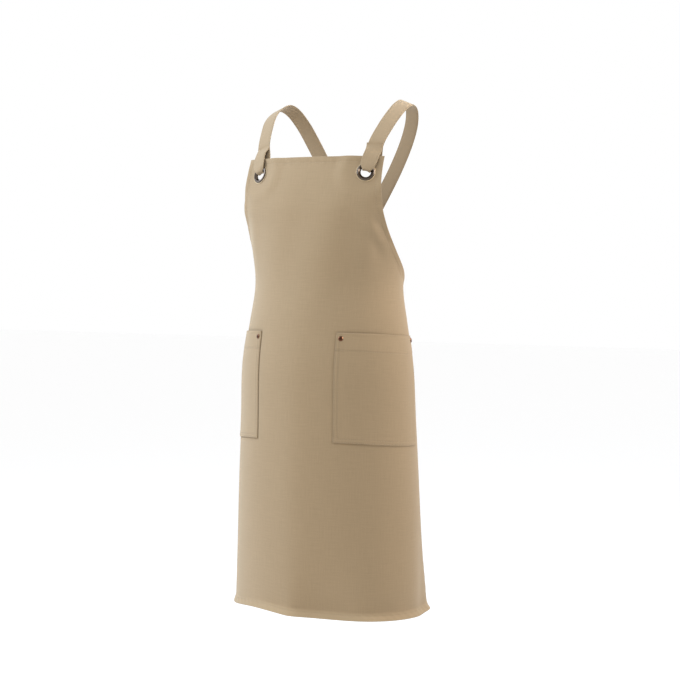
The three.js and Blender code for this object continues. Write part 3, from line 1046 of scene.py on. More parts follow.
@dataclass
class Stitching:
    """Rows of lockstitch: each stitch is a short, rounded thread that dips into the cloth at both ends."""

    name: str
    finish: bpy.types.Material
    pitch: float = 3.4
    length: float = 2.7
    width: float = 0.62
    height: float = 0.34
    shoulder: float = 0.55
    widest: float = 0.1
    under: float = 0.5
    dip: float = 0.6
    lift: float = 0.02
    centres: list[Array] = field(default_factory=list)
    alongs: list[Array] = field(default_factory=list)
    normals: list[Array] = field(default_factory=list)

    def row(self, path: Array, normals: Array) -> None:
        """Sews a row of stitches along a path.

        Args:
            path: Close points of the path in space, on the cloth's face.
            normals: The outward direction at each point.
        """
        reach = reach_along(path)
        count = max(1, int(reach[-1] / self.pitch))
        at = (np.arange(count) + 0.5) * reach[-1] / count
        half = self.length / 2
        start, centre, end = (read_along(reach, path, at + shift) for shift in (-half, 0.0, half))
        self.centres.append(centre)
        self.alongs.append(unit(end - start))
        self.normals.append(unit(read_along(reach, normals, at)))

    def build(self) -> bpy.types.Object:
        """Joins all the stitches into one piece.

        Returns:
            The piece.
        """
        centre, along, normal = map(np.concatenate, (self.centres, self.alongs, self.normals))
        across = unit(np.cross(normal, along))
        half, wide, high = self.length / 2, self.width / 2, self.height
        side = self.widest * high
        ring = [(0.0, high), (-wide, side), (0.0, -self.under * high), (wide, side)]
        shape = [(-half, 0.0, -self.dip * high)]
        shape += [(x, y, z) for x in (-self.shoulder * half, self.shoulder * half) for y, z in ring]
        shape += [(half, 0.0, -self.dip * high)]
        first, second, tip = 1, 1 + len(ring), len(shape) - 1
        turns = [(k, (k + 1) % len(ring)) for k in range(len(ring))]
        faces = [(0, first + j, first + k) for k, j in turns]
        faces += [(first + k, first + j, second + j, second + k) for k, j in turns]
        faces += [(tip, second + k, second + j) for k, j in turns]
        points = np.stack([centre + x * along + y * across + z * normal for x, y, z in shape], axis=1)
        all_faces = [tuple(i * len(shape) + k for k in face) for i in range(len(centre)) for face in faces]
        return mesh_object(self.name, points.reshape(-1, 3), all_faces, self.finish, sharp_above=80.0)


# Panel


@dataclass(frozen=True)
class RivetSpot:
    """Where a pocket's rivet goes on the pattern of the wearer's left half."""

    corner: Corner
    s: float
    v: float


@dataclass(frozen=True)
class PocketPlan:
    """Where a pocket lies on the pattern of the wearer's left half, and its two rivets."""

    inner: float = 83.0
    outer: float = 270.0
    top: float = -435.0
    bottom: float = -637.0
    rivets: tuple[RivetSpot, ...] = (
        RivetSpot(Corner.INNER, 91.5, -446.0),
        RivetSpot(Corner.OUTER, 261.5, -443.0),
    )
    hole_radii: tuple[float, ...] = (1.9, 3.2, 5.2)
    tightness: float = 0.85
    tight_from: float = 40.0
    tight_to: float = 50.0

    def runs(self, grow: float = 0.0) -> list[Array]:
        """Draws the four sides against the clock from the lower inner corner.

        Args:
            grow: How far the sides are moved outwards.

        Returns:
            The two ends of each side.
        """
        left, right = self.inner - grow, self.outer + grow
        low, high = self.bottom - grow, self.top + grow
        corners = [(left, low), (right, low), (right, high), (left, high)]
        return [np.array([a, b]) for a, b in zip(corners, corners[1:] + corners[:1])]

    def holes(self, side: Side = Side.LEFT) -> list[Hole]:
        """The rivets' holes on one half of the pattern."""
        return [Hole(side.value * spot.s, spot.v, self.hole_radii) for spot in self.rivets]

    def outside(self, s: Array, v: Array) -> Array:
        """How far places lie outside the pocket's edge, below zero inside it."""
        across = np.maximum(self.inner - np.abs(s), np.abs(s) - self.outer)
        return np.maximum(across, np.maximum(self.bottom - v, v - self.top))

    def looseness(self, s: Array) -> Array:
        """How much painted shade gathers at the pocket's edges: less towards the hip, which draws the cloth
        tight.
        """
        tight = smooth_step(self.inner + self.tight_from, self.outer - self.tight_to, np.abs(s))
        return 1 - self.tightness * tight


@dataclass
class Panel:
    """The bib and skirt, cut in one, with a narrow turned hem all round."""

    form: WornForm
    twill: bpy.types.Material
    thread: bpy.types.Material
    plan: PocketPlan = PocketPlan()
    half_thickness: float = 0.5
    edge_round: float = 0.9
    # The hem's front stands up by its rise, and behind it its turned edge makes a step.
    hem_width: float = 12.0
    hem_rise: float = 0.3
    hem_fade: tuple[float, float] = (-0.6, 1.8)
    hem_step: float = 0.8
    hem_step_fade: tuple[float, float] = (-0.1, 0.5)
    # Painted light makes the bottom hem's band lighter, less on the wearer's right.
    hem_painted_light: float = 0.5
    hem_painted_light_fade: tuple[float, float] = (-1.0, 4.0)
    # Towards its edge the hem stands away from the body, at the skirt's bottom most of all.
    hem_flare: float = 1.5
    skirt_flare: float = 5.2
    skirt_flare_reach: float = 1.4
    skirt_flare_curl: float = 1.5
    flare_right: float = 0.4
    flare_right_from: float = 20.0
    flare_right_to: float = 150.0
    # The hem's row of stitches dips, and painted shade darkens it.
    stitch_inset: float = 10.2
    stitch_dip: float = 0.3
    stitch_dip_spread: float = 1.0
    stitch_shade: float = 0.07
    stitch_shade_spread: float = 0.9
    # Round a pocket the cloth is drawn in, and painted shade darkens it. The back face gets a share of all
    # the panel's painted shade.
    pocket_dip_at: float = 0.6
    pocket_dip: float = 0.4
    pocket_dip_spread: float = 1.8
    pocket_shade: float = 0.2
    pocket_shade_spread: float = 1.5
    back_shade: float = 0.5
    # The stitches pucker the hem into slanting ripples.
    ripple: float = 0.28
    ripple_length: float = 17.0
    ripple_slant: float = 0.8
    ripple_wander: float = 2.1
    ripple_wander_s: float = 41.0
    ripple_wander_v: float = 57.0
    ripple_at: float = 0.75
    ripple_spread: float = 0.7
    # Points of the cut: along its edge, over its middle, and close together where there is relief.
    edge_spacing: float = 4.0
    filling_spacing: float = 6.0
    sweep_points: int = 400
    sweep_crowding: float = 2.6
    edge_insets: tuple[float, ...] = (0.45, 1.0, 2.2, 4.5, 7.0)
    stitch_insets: tuple[float, ...] = (-1.0, 0.0, 1.0)
    hem_insets: tuple[float, ...] = (0.2, 1.6, 4.5)
    eyelet_radii: tuple[float, ...] = (11.5, 12.6, 14.5, 17.5, 21.0, 25.0)
    pocket_line_steps: tuple[float, ...] = (-2.4, -0.8, 0.6, 2.0, 3.6, 6.5)
    pocket_line_spacing: float = 3.0
    hole_clearance: float = 1.0
    stitch_path_spacing: float = 1.0

    def outline(self, inset: float = 0.0) -> list[Array]:
        """Draws the pattern's outline as runs between corners, against the clock from the bib's right corner.

        Args:
            inset: How far inside the edge the outline runs.

        Returns:
            The runs: top edge last.
        """
        form = self.form
        down = 1 - (1 - np.linspace(0, 1, self.sweep_points)) ** self.sweep_crowding
        v = form.bib_top + (form.waist - form.bib_top) * down
        sweep = np.stack([form.half_width(v), v], axis=1)
        along = unit(np.gradient(sweep, axis=0))
        sweep = sweep + inset * np.stack([along[:, 1], -along[:, 0]], axis=1)
        inside = (sweep[:, 1] <= form.bib_top - inset) & (sweep[:, 0] <= form.skirt_half - inset)
        sweep = sweep[inside]
        mirrored = sweep * (-1, 1)
        side, low, high = form.skirt_half - inset, form.hem + inset, sweep[-1][1]
        corners = [(-side, high), (-side, low), (side, low), (side, high)]
        sides = [np.array(ends) for ends in zip(corners, corners[1:])]
        return [mirrored, *sides, sweep[::-1], np.array([sweep[0], mirrored[0]])]

    def build(self) -> list[bpy.types.Object]:
        """Makes the panel and its stitching.

        Returns:
            The panel and its stitches.
        """
        form = self.form
        holes = [Hole(*form.eyelet_at(side), self.eyelet_radii) for side in Side]
        holes += [hole for side in Side for hole in self.plan.holes(side)]
        insets = [*self.edge_insets]
        insets += [self.stitch_inset + step for step in self.stitch_insets]
        insets += [self.hem_width + step for step in self.hem_insets]
        loop = even_points(self.outline(), self.edge_spacing)
        cut = FlatCut(loop, tuple(holes), tuple(insets), self.filling_spacing, self._pocket_lines(holes))
        s, v = cut.points.T
        inside = cut.edge_distance()
        patch = form.patch(s, v)
        front = patch.lifted(self.front_offset(s, v, inside))
        back = patch.lifted(-self.back_offset(s, v, inside))
        points, faces, uv = cut.shell(front, back)
        # Painted shade along the hem's row of stitches and round the pockets, with a share on the back face
        seam = self.stitch_shade * bump_at(inside, self.stitch_inset, self.stitch_shade_spread)
        drawn_in = bump_at(self.plan.outside(s, v), self.pocket_dip_at, self.pocket_shade_spread)
        seam += self.pocket_shade * drawn_in * self.plan.looseness(s)
        # Painted light on the bottom hem's band
        painted_hem_light = self.hem_painted_light * within(v - form.hem, self.hem_width, self.hem_painted_light_fade)
        painted_hem_light = painted_hem_light * self._leftward(s)
        values = {
            PAINTED_SEAM_SHADE: np.concatenate([seam, self.back_shade * seam]),
            PAINTED_HEM_LIGHT: np.concatenate([painted_hem_light, painted_hem_light]),
        }
        panel = mesh_object("twill_panel", points, faces, self.twill, uv, values=values)
        settle(panel, Slot.CLOTH, "apron_panel")
        stitches = self._stitches()
        return [panel, stitches]

    def _pocket_lines(self, holes: Sequence[Hole]) -> Array:
        """Sets close points along the pockets' edges, where the panel is drawn in, clear of the holes.

        Args:
            holes: The panel's holes.

        Returns:
            One point a row.
        """
        spacing = self.pocket_line_spacing
        one = np.concatenate([even_points(self.plan.runs(grow), spacing) for grow in self.pocket_line_steps])
        both = np.concatenate([one, one * (-1, 1)])
        clear = np.ones(len(both), bool)
        for hole in holes:
            clear &= hole.distance(both) > hole.radii[-1] + self.hole_clearance
        return both[clear]

    def front_offset(self, s: Array, v: Array, inside: Array) -> Array:
        """Measures how far the front face lies before the cloth's middle: the hem rises and its seam dips.

        Args:
            s: Distances across the cloth.
            v: Heights on the pattern.
            inside: Distances from the edge.

        Returns:
            The offsets.
        """
        width = self.hem_width
        hem = within(inside, width, self.hem_fade)
        rise = self.hem_rise * hem
        rise -= self.stitch_dip * bump_at(inside, self.stitch_inset, self.stitch_dip_spread)
        drawn_in = bump_at(self.plan.outside(s, v), self.pocket_dip_at, self.pocket_dip_spread)
        rise -= self.pocket_dip * drawn_in * self.plan.looseness(s)
        wander = self.ripple_wander * np.sin(s / self.ripple_wander_s + v / self.ripple_wander_v)
        wave = np.sin((s + self.ripple_slant * v) * 2 * math.pi / self.ripple_length + wander)
        rise += self.ripple * wave * bump_at(inside, self.ripple_at * width, self.ripple_spread * width) * hem
        corner = rounded_edge(inside, self.edge_round)
        return (self.half_thickness + rise) * corner + self._flare(s, v, inside)

    def back_offset(self, s: Array, v: Array, inside: Array) -> Array:
        """Measures how far the back face lies behind the cloth's middle, with the step of the turned hem.

        Args:
            s: Distances across the cloth.
            v: Heights on the pattern.
            inside: Distances from the edge.

        Returns:
            The offsets.
        """
        hem = within(inside, self.hem_width, self.hem_step_fade)
        corner = rounded_edge(inside, self.edge_round)
        return (self.half_thickness + self.hem_step * hem) * corner - self._flare(s, v, inside)

    def _flare(self, s: Array, v: Array, inside: Array) -> Array:
        """Measures how far the hem stands away from the body towards its edge.

        Args:
            s: Distances across the cloth.
            v: Heights on the pattern.
            inside: Distances from the edge.

        Returns:
            The distances.
        """
        up = np.clip((v - self.form.hem) / (self.skirt_flare_reach * self.hem_width), 0, 1)
        skirt = self.skirt_flare * (1 - up) ** self.skirt_flare_curl
        return self.hem_flare * (1 - smooth_step(0.0, self.hem_width, inside)) + skirt * self._leftward(s)

    def _leftward(self, s: Array) -> Array:
        """The share of the skirt's flare at s: all of it on the wearer's left and less on the right."""
        return 1 - (1 - self.flare_right) * smooth_step(self.flare_right_from, self.flare_right_to, -s)

    def _stitches(self) -> bpy.types.Object:
        """Sews the hem's row of stitches, seen on both faces.

        Returns:
            The stitches.
        """
        sewing = Stitching("panel_stitches", self.thread)
        for run in self.outline(self.stitch_inset):
            if len(run) > 2:
                path = even_points([run, run[-1:]], self.stitch_path_spacing)[:-1]
            else:
                path = straight_points(run)
            s, v = path.T
            patch = self.form.patch(s, v)
            inside = np.full(len(s), self.stitch_inset)
            sewing.row(patch.lifted(self.front_offset(s, v, inside) + sewing.lift), patch.normal)
            sewing.row(patch.lifted(-self.back_offset(s, v, inside) - sewing.lift), -patch.normal)
        return settle(sewing.build(), Slot.CLOTH)


# Pockets


@dataclass
class Pocket:
    """A patch pocket, sewn on with two rows at its sides and bottom, with a deep turned hem at its mouth."""

    form: WornForm
    side: Side
    twill: bpy.types.Material
    thread: bpy.types.Material
    plan: PocketPlan = PocketPlan()
    thickness: float = 1.0
    edge_round: float = 0.8
    # Between its sewn edges the pocket is slack at the front part of its mouth.
    gap: float = 0.62
    slack: float = 1.5
    slack_forward: float = 0.6
    # Relief of its face: turned edges, the mouth's hem, its rolled edge and the loose bottom
    turned: float = 10.0
    turned_rise: float = 0.3
    turned_fade: tuple[float, float] = (-1.0, 1.5)
    mouth_hem: float = 34.0
    mouth_hem_rise: float = 0.25
    mouth_hem_fade: tuple[float, float] = (-0.6, 1.8)
    mouth_roll: float = 0.5
    mouth_roll_at: float = 2.2
    mouth_roll_spread: float = 2.0
    bottom_rise: float = 0.9
    bottom_reach: float = 11.0
    # Rows of stitches, by their distance from the sewn edge and from the mouth hem's edge
    seam_rows: tuple[float, float] = (1.9, 7.6)
    seam_dip: float = 0.4
    seam_spread: float = 0.9
    mouth_row: float = 1.6
    mouth_row_spread: float = 1.0
    row_below_mouth: float = 1.5
    row_clearance: float = 2.0
    # Painted shade along the rows of stitches and at the mouth's edge
    seam_shade: float = 0.2
    mouth_shade_spread: float = 0.9
    # Points of the cut: along its edge, inside it at the rows and the turned edge, over its middle, and
    # along the mouth's row
    edge_spacing: float = 4.0
    insets: tuple[float, ...] = (0.4, 0.9, 1.9, 2.9, 4.6, 6.6, 7.6, 8.6, 10.0, 11.8, 15.0)
    filling_spacing: float = 5.0
    mouth_line_steps: tuple[float, ...] = (-2.6, -1.1, 0.0, 1.1, 2.6)
    mouth_line_spacing: float = 3.0
    mouth_line_end: float = 18.0

    @property
    def mouth_row_v(self) -> float:
        """The height of the row of stitches under the mouth."""
        return self.plan.top - self.mouth_hem + self.mouth_row

    def stand_off(self, s: Array, v: Array) -> Array:
        """Measures how far the pocket's back stands off the panel's middle.

        Args:
            s: Distances across the cloth.
            v: Heights on the pattern.

        Returns:
            The distances: least at the sewn edges, and most at the front part of the mouth, because the hip
            draws the outer part tight.
        """
        plan = self.plan
        across = np.clip((np.abs(s) - plan.inner) / (plan.outer - plan.inner), 0, 1)
        up = np.clip((v - plan.bottom) / (plan.top - plan.bottom), 0, 1)
        return self.gap + self.slack * np.sin(np.pi * across**self.slack_forward) * up**2

    def relief(self, s: Array, v: Array) -> Array:
        """Measures the front face's relief: turned edges, the mouth's hem and the dips of the seams.

        Args:
            s: Distances across the cloth.
            v: Heights on the pattern.

        Returns:
            Heights above the plain cloth.
        """
        seam, low, mouth = self._insets(s, v)
        rise = self.turned_rise * within(seam, self.turned, self.turned_fade)
        rise += self.mouth_hem_rise * within(mouth, self.mouth_hem, self.mouth_hem_fade)
        loose = self.plan.looseness(s)
        rise += self.bottom_rise * loose * (1 - smooth_step(0.0, self.bottom_reach, low))
        rise += self.mouth_roll * loose * bump_at(mouth, self.mouth_roll_at, self.mouth_roll_spread)
        return rise - self.seam_dip * self._sewn(seam, mouth)

    def _insets(self, s: Array, v: Array) -> tuple[Array, Array, Array]:
        """Measures how far places lie inside the pocket's edges.

        Args:
            s: Distances across the cloth.
            v: Heights on the pattern.

        Returns:
            Distances from the sewn edge, from the bottom and from the mouth.
        """
        plan = self.plan
        side = np.minimum(np.abs(s) - plan.inner, plan.outer - np.abs(s))
        low = v - plan.bottom
        return np.minimum(side, low), low, plan.top - v

    def _sewn(self, seam: Array, mouth: Array) -> Array:
        """Where the rows of stitches draw the cloth in, from 0 to 1."""
        rows = sum(bump_at(seam, inset, self.seam_spread) for inset in self.seam_rows)
        return rows + bump_at(mouth, self.mouth_hem - self.mouth_row, self.mouth_row_spread)

    def build(self) -> list[bpy.types.Object]:
        """Makes the pocket and its stitching.

        Returns:
            The pocket and its stitches.
        """
        sign, plan = self.side.value, self.plan
        loop = even_points(plan.runs(), self.edge_spacing)
        cut = FlatCut(loop, tuple(plan.holes()), self.insets, self.filling_spacing, self._mouth_lines())
        s, v = cut.points.T
        patch = self.form.patch(sign * s, v)
        corner = rounded_edge(cut.edge_distance(), self.edge_round)
        half = self.thickness / 2
        middle = self.stand_off(s, v) + half
        front = patch.lifted(middle + (half + self.relief(s, v)) * corner)
        back = patch.lifted(middle - half * corner)
        points, faces, uv = cut.shell(front, back)
        if self.side is Side.RIGHT:
            faces = [tuple(reversed(face)) for face in faces]
        seam, _, mouth = self._insets(s, v)
        # Painted shade along the rows of stitches and at the mouth's edge, less towards the hip
        shade = self._sewn(seam, mouth) + bump_at(mouth, 0.0, self.mouth_shade_spread)
        shade = self.seam_shade * shade * plan.looseness(s)
        name = f"{self.side.hand}_twill_pocket"
        values = {PAINTED_SEAM_SHADE: np.concatenate([shade, shade])}
        pocket = mesh_object(name, points, faces, self.twill, uv * (sign, 1), values=values)
        settle(pocket, Slot.CLOTH, f"{self.side.hand}_pocket")
        stitches = self._stitches()
        return [pocket, stitches]

    def _mouth_lines(self) -> Array:
        """Sets close points along the row of stitches under the mouth.

        Returns:
            One point a row.
        """
        end = self.mouth_line_end
        s = np.arange(self.plan.inner + end, self.plan.outer - end, self.mouth_line_spacing)
        heights = [np.full_like(s, self.mouth_row_v + step) for step in self.mouth_line_steps]
        return np.concatenate([np.stack([s, v], axis=1) for v in heights])

    def _stitches(self) -> bpy.types.Object:
        """Sews the two rows round the pocket and the row under its mouth.

        Returns:
            The stitches.
        """
        plan = self.plan
        sewing = Stitching(f"{self.side.hand}_pocket_stitches", self.thread)
        high = plan.top - self.row_below_mouth
        for inset in self.seam_rows:
            a, b, low = plan.inner + inset, plan.outer - inset, plan.bottom + inset
            corners = [(a, high), (a, low), (b, low), (b, high)]
            for ends in zip(corners, corners[1:]):
                self._row(sewing, ends)
        end = self.seam_rows[1] + self.row_clearance
        self._row(sewing, [(plan.inner + end, self.mouth_row_v), (plan.outer - end, self.mouth_row_v)])
        return settle(sewing.build(), Slot.CLOTH)

    def _row(self, sewing: Stitching, ends: Sequence[tuple[float, float]]) -> None:
        """Sews a straight row on the pocket's face.

        Args:
            sewing: The stitching that gets the row.
            ends: The row's two ends on the pattern.
        """
        s, v = straight_points(np.array(ends)).T
        patch = self.form.patch(self.side.value * s, v)
        face = self.stand_off(s, v) + self.thickness + self.relief(s, v)
        sewing.row(patch.lifted(face + sewing.lift), patch.normal)


# Straps


@dataclass(frozen=True)
class Place:
    """A place on a strap's run: a point on its middle, the way its face looks, and its section's sizes."""

    point: Array
    face: Array
    width: float
    thickness: float
    bow: float = 0.0


@dataclass(frozen=True)
class LoopRow:
    """A place on the loop through the eyelet, by its height over the hole's centre and distance before the
    cloth, with its width, thickness, bow and distance aside."""

    up: float
    out: float
    width: float
    thickness: float
    bow: float
    aside: float = 0.0


@dataclass(frozen=True)
class RouteRow:
    """A place on the left strap over the shoulder and down the back, the way its face looks there, and its
    share in following its eyelet."""

    x: float
    y: float
    z: float
    face_x: float
    face_y: float
    face_z: float
    follows: float = 0.0


@dataclass(frozen=True)
class EndRow:
    """A place of a strap's sewn end on the panel's pattern: its distance across and below the waist."""

    s: float
    below: float


@dataclass
class Strap:
    """A strap of folded twill: looped through its eyelet, over the shoulder and sewn in at the far waist."""

    form: WornForm
    side: Side
    twill: bpy.types.Material
    thread: bpy.types.Material
    width: float = 30.0
    thickness: float = 2.2
    step: float = 2.5
    least_steps: int = 4
    edge_row: float = 2.6
    row_height: float = 0.9
    # The straps pass each other at the crossing, one before and one behind the middle.
    crossing_z: float = -250.0
    crossing_reach: float = 110.0
    crossing_core: float = 0.4
    crossing_offset: float = 1.8
    # The tab at the loop's end lies on the strap behind it, and its shares run up from the loop.
    tab_at: tuple[float, ...] = (0.85, 1.05)
    tab_lift: float = 2.7
    tab_shift: float = 2.2
    # The end lies inside the panel's hem, with these gaps to the cloth and for the turned hem.
    panel_thickness: float = 1.0
    end_gap: float = 0.7
    end_hem_gap: float = 0.35
    end_bow: float = 1.0
    end_rows: tuple[EndRow, ...] = (EndRow(351.0, -12.0), EndRow(342.0, 10.0), EndRow(330.0, 38.0))
    loop: tuple[LoopRow, ...] = (
        LoopRow(44, 1.6, 30, 2.2, 0, 0.4),
        LoopRow(32, 4.8, 30, 2.2, 0, 0.2),
        LoopRow(20, 5.8, 29.5, 2.2, 0),
        LoopRow(11, 6.2, 26.5, 2.4, -1.0),
        LoopRow(5.2, 4.4, 20, 2.8, -1.2),
        LoopRow(4, 0, 14, 2.8, 2),
        LoopRow(5.4, -3.5, 16, 2.8, 1.4),
        LoopRow(12, -5.0, 23, 2.4, 0.4, 0.6),
        LoopRow(22, -5.8, 29, 2.2, 0, 2.0),
        LoopRow(34, -6.2, 30, 2.2, 0, 3.5),
    )
    route: tuple[RouteRow, ...] = (
        RouteRow(122, -106, -86, 0.28, -0.83, 0.48, 0.85),
        RouteRow(130, -80, -50, 0.30, -0.68, 0.66, 0.45),
        RouteRow(136, -52, -23, 0.33, -0.50, 0.80),
        RouteRow(136.5, -25, -6, 0.36, -0.24, 0.90),
        RouteRow(135, 0, 1.1, 0.37, 0.0, 0.93),
        RouteRow(131.5, 24, -6, 0.36, 0.36, 0.86),
        RouteRow(121.5, 46, -30, 0.32, 0.70, 0.64),
        RouteRow(105, 59, -66, 0.25, 0.90, 0.36),
        RouteRow(77, 66, -120, 0.14, 0.98, 0.12),
        RouteRow(38, 68, -186, 0.05, 1.0, 0.02),
        RouteRow(0, 68, -250, 0.0, 1.0, 0.0),
        RouteRow(-31, 63, -300, -0.12, 0.99, 0.0),
    )

    def build(self) -> list[bpy.types.Object]:
        """Makes the strap and its stitching.

        Returns:
            The strap and its stitches.
        """
        middle, face, sizes = self._follow(self._places())
        along = unit(np.gradient(middle, axis=0))
        across = unit(np.cross(face, along))
        face = np.cross(along, across)
        points, faces, uv = self._sweep(middle, across, face, sizes)
        name = f"{self.side.hand}_twill_strap"
        strap = mesh_object(name, points, faces, self.twill, uv, sharp_above=60.0)
        settle(strap, Slot.STRAP, f"{self.side.hand}_strap")
        sewing = Stitching(f"{self.side.hand}_strap_stitches", self.thread)
        width, thickness, bow = sizes.T
        for edge in (-1, 1):
            for layer in (-1, 1):
                inset = edge * (width / 2 - self.edge_row)
                share = 2 * inset / width
                lift = layer * (self.row_height * thickness / 2 + sewing.lift) - bow * share**2
                sewing.row(middle + inset[:, None] * across + lift[:, None] * face, layer * face)
        stitches = settle(sewing.build(), Slot.STRAP)
        return [strap, stitches]

    def _places(self) -> list[Place]:
        """Sets all the places of the strap, from the sewn end of its loop to its sewn end at the waist.

        Returns:
            The places in order.
        """
        centre, normal = self.form.eyelets[self.side]
        run = self._back_places()
        up = run[0].point - centre
        up = unit(up - (up @ normal) * normal)
        aside = np.cross(up, normal)
        made = []
        for i, row in enumerate(self.loop):
            last, following = self.loop[max(i - 1, 0)], self.loop[min(i + 1, len(self.loop) - 1)]
            face = unit((following.up - last.up) * normal - (following.out - last.out) * up)
            point = centre + row.up * up + row.out * normal + row.aside * aside
            made.append(Place(point, face, row.width, row.thickness, row.bow))
        top = made[-1]
        tab = []
        for share in self.tab_at:
            face = unit(top.face * (1 - share) + run[0].face * share)
            point = top.point * (1 - share) + run[0].point * share + self.tab_lift * face
            point[0] -= self.side.value * self.tab_shift * share
            tab.append(Place(point, -face, self.width, self.thickness))
        return [*reversed(tab), *made, *run]

    def _back_places(self) -> list[Place]:
        """Sets the places over the shoulder, across the back and inside the far waist corner.

        Returns:
            The places in order.
        """
        sign = self.side.value
        places = []
        farther = sign * (self.form.left_eyelet_s + self.form.right_eyelet_s) / 2
        for row in self.route:
            face = unit(np.array([sign * row.face_x, row.face_y, row.face_z]))
            away = abs(row.z - self.crossing_z)
            near = 1 - smooth_step(self.crossing_core * self.crossing_reach, self.crossing_reach, away)
            x = sign * (row.x + row.follows * farther)
            point = np.array([x, row.y, row.z]) + sign * self.crossing_offset * near * face
            places.append(Place(point, face, self.width, self.thickness))
        inside = -(self.panel_thickness + self.thickness) / 2 - self.end_gap - self.end_hem_gap
        for row in self.end_rows:
            patch = self.form.patch(np.array([-sign * row.s]), np.array([self.form.waist - row.below]))
            face = patch.normal[0]
            point = patch.middle[0] + inside * face
            places.append(Place(point, face, self.width, self.thickness, self.end_bow))
        return places

    def _follow(self, places: list[Place]) -> tuple[Array, Array, Array]:
        """Sets close points along a smooth curve through the places.

        Args:
            places: The places in order.

        Returns:
            Points, face directions, and width, thickness and bow, a row for each point.
        """
        control = np.array([place.point for place in places])
        faces = np.array([place.face for place in places])
        sizes = np.array([(place.width, place.thickness, place.bow) for place in places])
        chords = np.linalg.norm(np.diff(control, axis=0), axis=1)
        # Knots spaced by the roots of the chords keep the curve from swinging out at the loop's short spans.
        knots = np.concatenate([[0.0], np.cumsum(np.sqrt(chords))])
        rows = []
        for i, chord in enumerate(chords):
            count = max(self.least_steps, int(chord / self.step))
            rows.append(i + np.linspace(0, 1, count, endpoint=i == len(chords) - 1))
        at = np.concatenate(rows)
        i = np.minimum(at.astype(int), len(chords) - 1)
        points, looks, measures = (
            curve_through(values, np.gradient(values, knots, axis=0), knots, i, at - i)
            for values in (control, faces, sizes)
        )
        return points, unit(looks), measures

    def _section(self) -> Array:
        """Draws the strap's soft section, with a groove under each row of stitches.

        Returns:
            The shares of half the width and half the thickness, a row for each point.
        """
        row = 1 - 2 * self.edge_row / self.width
        top = [(-1, 0.0), (-0.99, 0.42), (-0.965, 0.74), (-0.92, 0.95), (-row - 0.03, 0.98), (-row, 0.84)]
        top += [(-row + 0.035, 0.98), (-0.6, 1.02), (-0.3, 1.05), (0.0, 1.06)]
        top += [(-x, y) for x, y in reversed(top[:-1])]
        return np.array(top + [(x, -y) for x, y in reversed(top[1:-1])])

    def _sweep(self, middle: Array, across: Array, face: Array, sizes: Array) -> tuple[Array, Faces, Array]:
        """Sweeps the strap's section along its run.

        Args:
            middle: Points along the run.
            across: Sideways directions.
            face: Face directions.
            sizes: Width, thickness and bow at each point.

        Returns:
            Vertices, faces and pattern coordinates.
        """
        x, y = self._section().T[:, None]
        width, thickness, bow = sizes.T[:, :, None]
        wide = x * width / 2
        high = y * thickness / 2 - bow * x**2
        points = middle[:, None] + wide[..., None] * across[:, None] + high[..., None] * face[:, None]
        rows, ring = wide.shape
        faces: Faces = []
        for i in range(rows - 1):
            for j in range(ring):
                k = (j + 1) % ring
                faces.append((i * ring + j, i * ring + k, (i + 1) * ring + k, (i + 1) * ring + j))
        faces.append(tuple(range(ring - 1, -1, -1)))
        faces.append(tuple(range((rows - 1) * ring, rows * ring)))
        along = np.broadcast_to(reach_along(middle)[:, None], (rows, ring))
        uv = np.stack([wide, along], axis=-1).reshape(-1, 2) * MM
        return points.reshape(-1, 3), faces, uv


# Metal


def turn_rings(
    name: str, rings: Sequence[tuple[float, float]], sides: int, closed: bool, sharp_above: float = 38.0
) -> bpy.types.Object:
    """Builds a turned piece about +Z, by extruding a circle's edge from ring to ring.

    Args:
        name: The piece's name.
        rings: The radius and height of each ring, in millimetres.
        sides: The number of sides.
        closed: True where the last ring meets the first, False where both ends are filled.
        sharp_above: Edges that bend by more than this many degrees stay sharp.

    Returns:
        The piece, at the origin.
    """
    deselect_all()
    first_radius, first_height = rings[0]
    bpy.ops.mesh.primitive_circle_add(
        vertices=sides,
        radius=first_radius * MM,
        fill_type="NOTHING" if closed else "NGON",
        location=(0.0, 0.0, 0.0),
    )
    piece = bpy.context.object
    piece.name = name
    piece.data.name = name
    bpy.ops.object.mode_set(mode="EDIT")
    bpy.ops.mesh.select_mode(type="EDGE")
    bpy.ops.mesh.select_all(action="SELECT")
    bpy.ops.transform.translate(value=(0.0, 0.0, first_height * MM))
    if not closed:
        bpy.ops.mesh.select_mode(type="VERT")
    for (radius, height), (next_radius, next_height) in zip(rings, rings[1:]):
        rise = (0.0, 0.0, (next_height - height) * MM)
        bpy.ops.mesh.extrude_edges_move(TRANSFORM_OT_translate={"value": rise})
        share = next_radius / radius
        centre = (0.0, 0.0, next_height * MM)
        bpy.ops.transform.resize(value=(share, share, 1.0), center_override=centre)
    if not closed:
        bpy.ops.mesh.edge_face_add()
    bpy.ops.mesh.select_all(action="SELECT")
    bpy.ops.mesh.remove_doubles(threshold=RING_MERGE * MM)
    bpy.ops.mesh.normals_make_consistent(inside=False)
    bpy.ops.object.mode_set(mode="OBJECT")
    bpy.ops.object.shade_smooth_by_angle(angle=math.radians(sharp_above))
    return piece


def dress_turned(
    piece: bpy.types.Object,
    plate: bpy.types.Material,
    wear: Callable[[Array, Array], Array],
    centre: Array,
    normal: Array,
) -> None:
    """Plates a turned piece and puts it on the cloth, with its axis along the cloth's normal.

    Args:
        piece: The piece, still at the origin.
        plate: Its finish.
        wear: How light a vertex's colour is made, from its radius and height: worn metal, and on an eyelet's
            flange a painted reflection.
        centre: Where the piece goes.
        normal: The cloth's normal there.
    """
    piece.data.materials.append(plate)
    flat = np.zeros(3 * len(piece.data.vertices), np.float32)
    piece.data.vertices.foreach_get("co", flat)
    x, y, z = flat.reshape(-1, 3).T / MM
    write_values(piece.data, WEAR_AND_PAINTED_REFLECTION, wear(np.hypot(x, y), z))
    turn = Vector((0.0, 0.0, 1.0)).rotation_difference(Vector(normal.tolist()))
    piece.data.transform(Matrix.Translation(Vector((centre * MM).tolist())) @ turn.to_matrix().to_4x4())


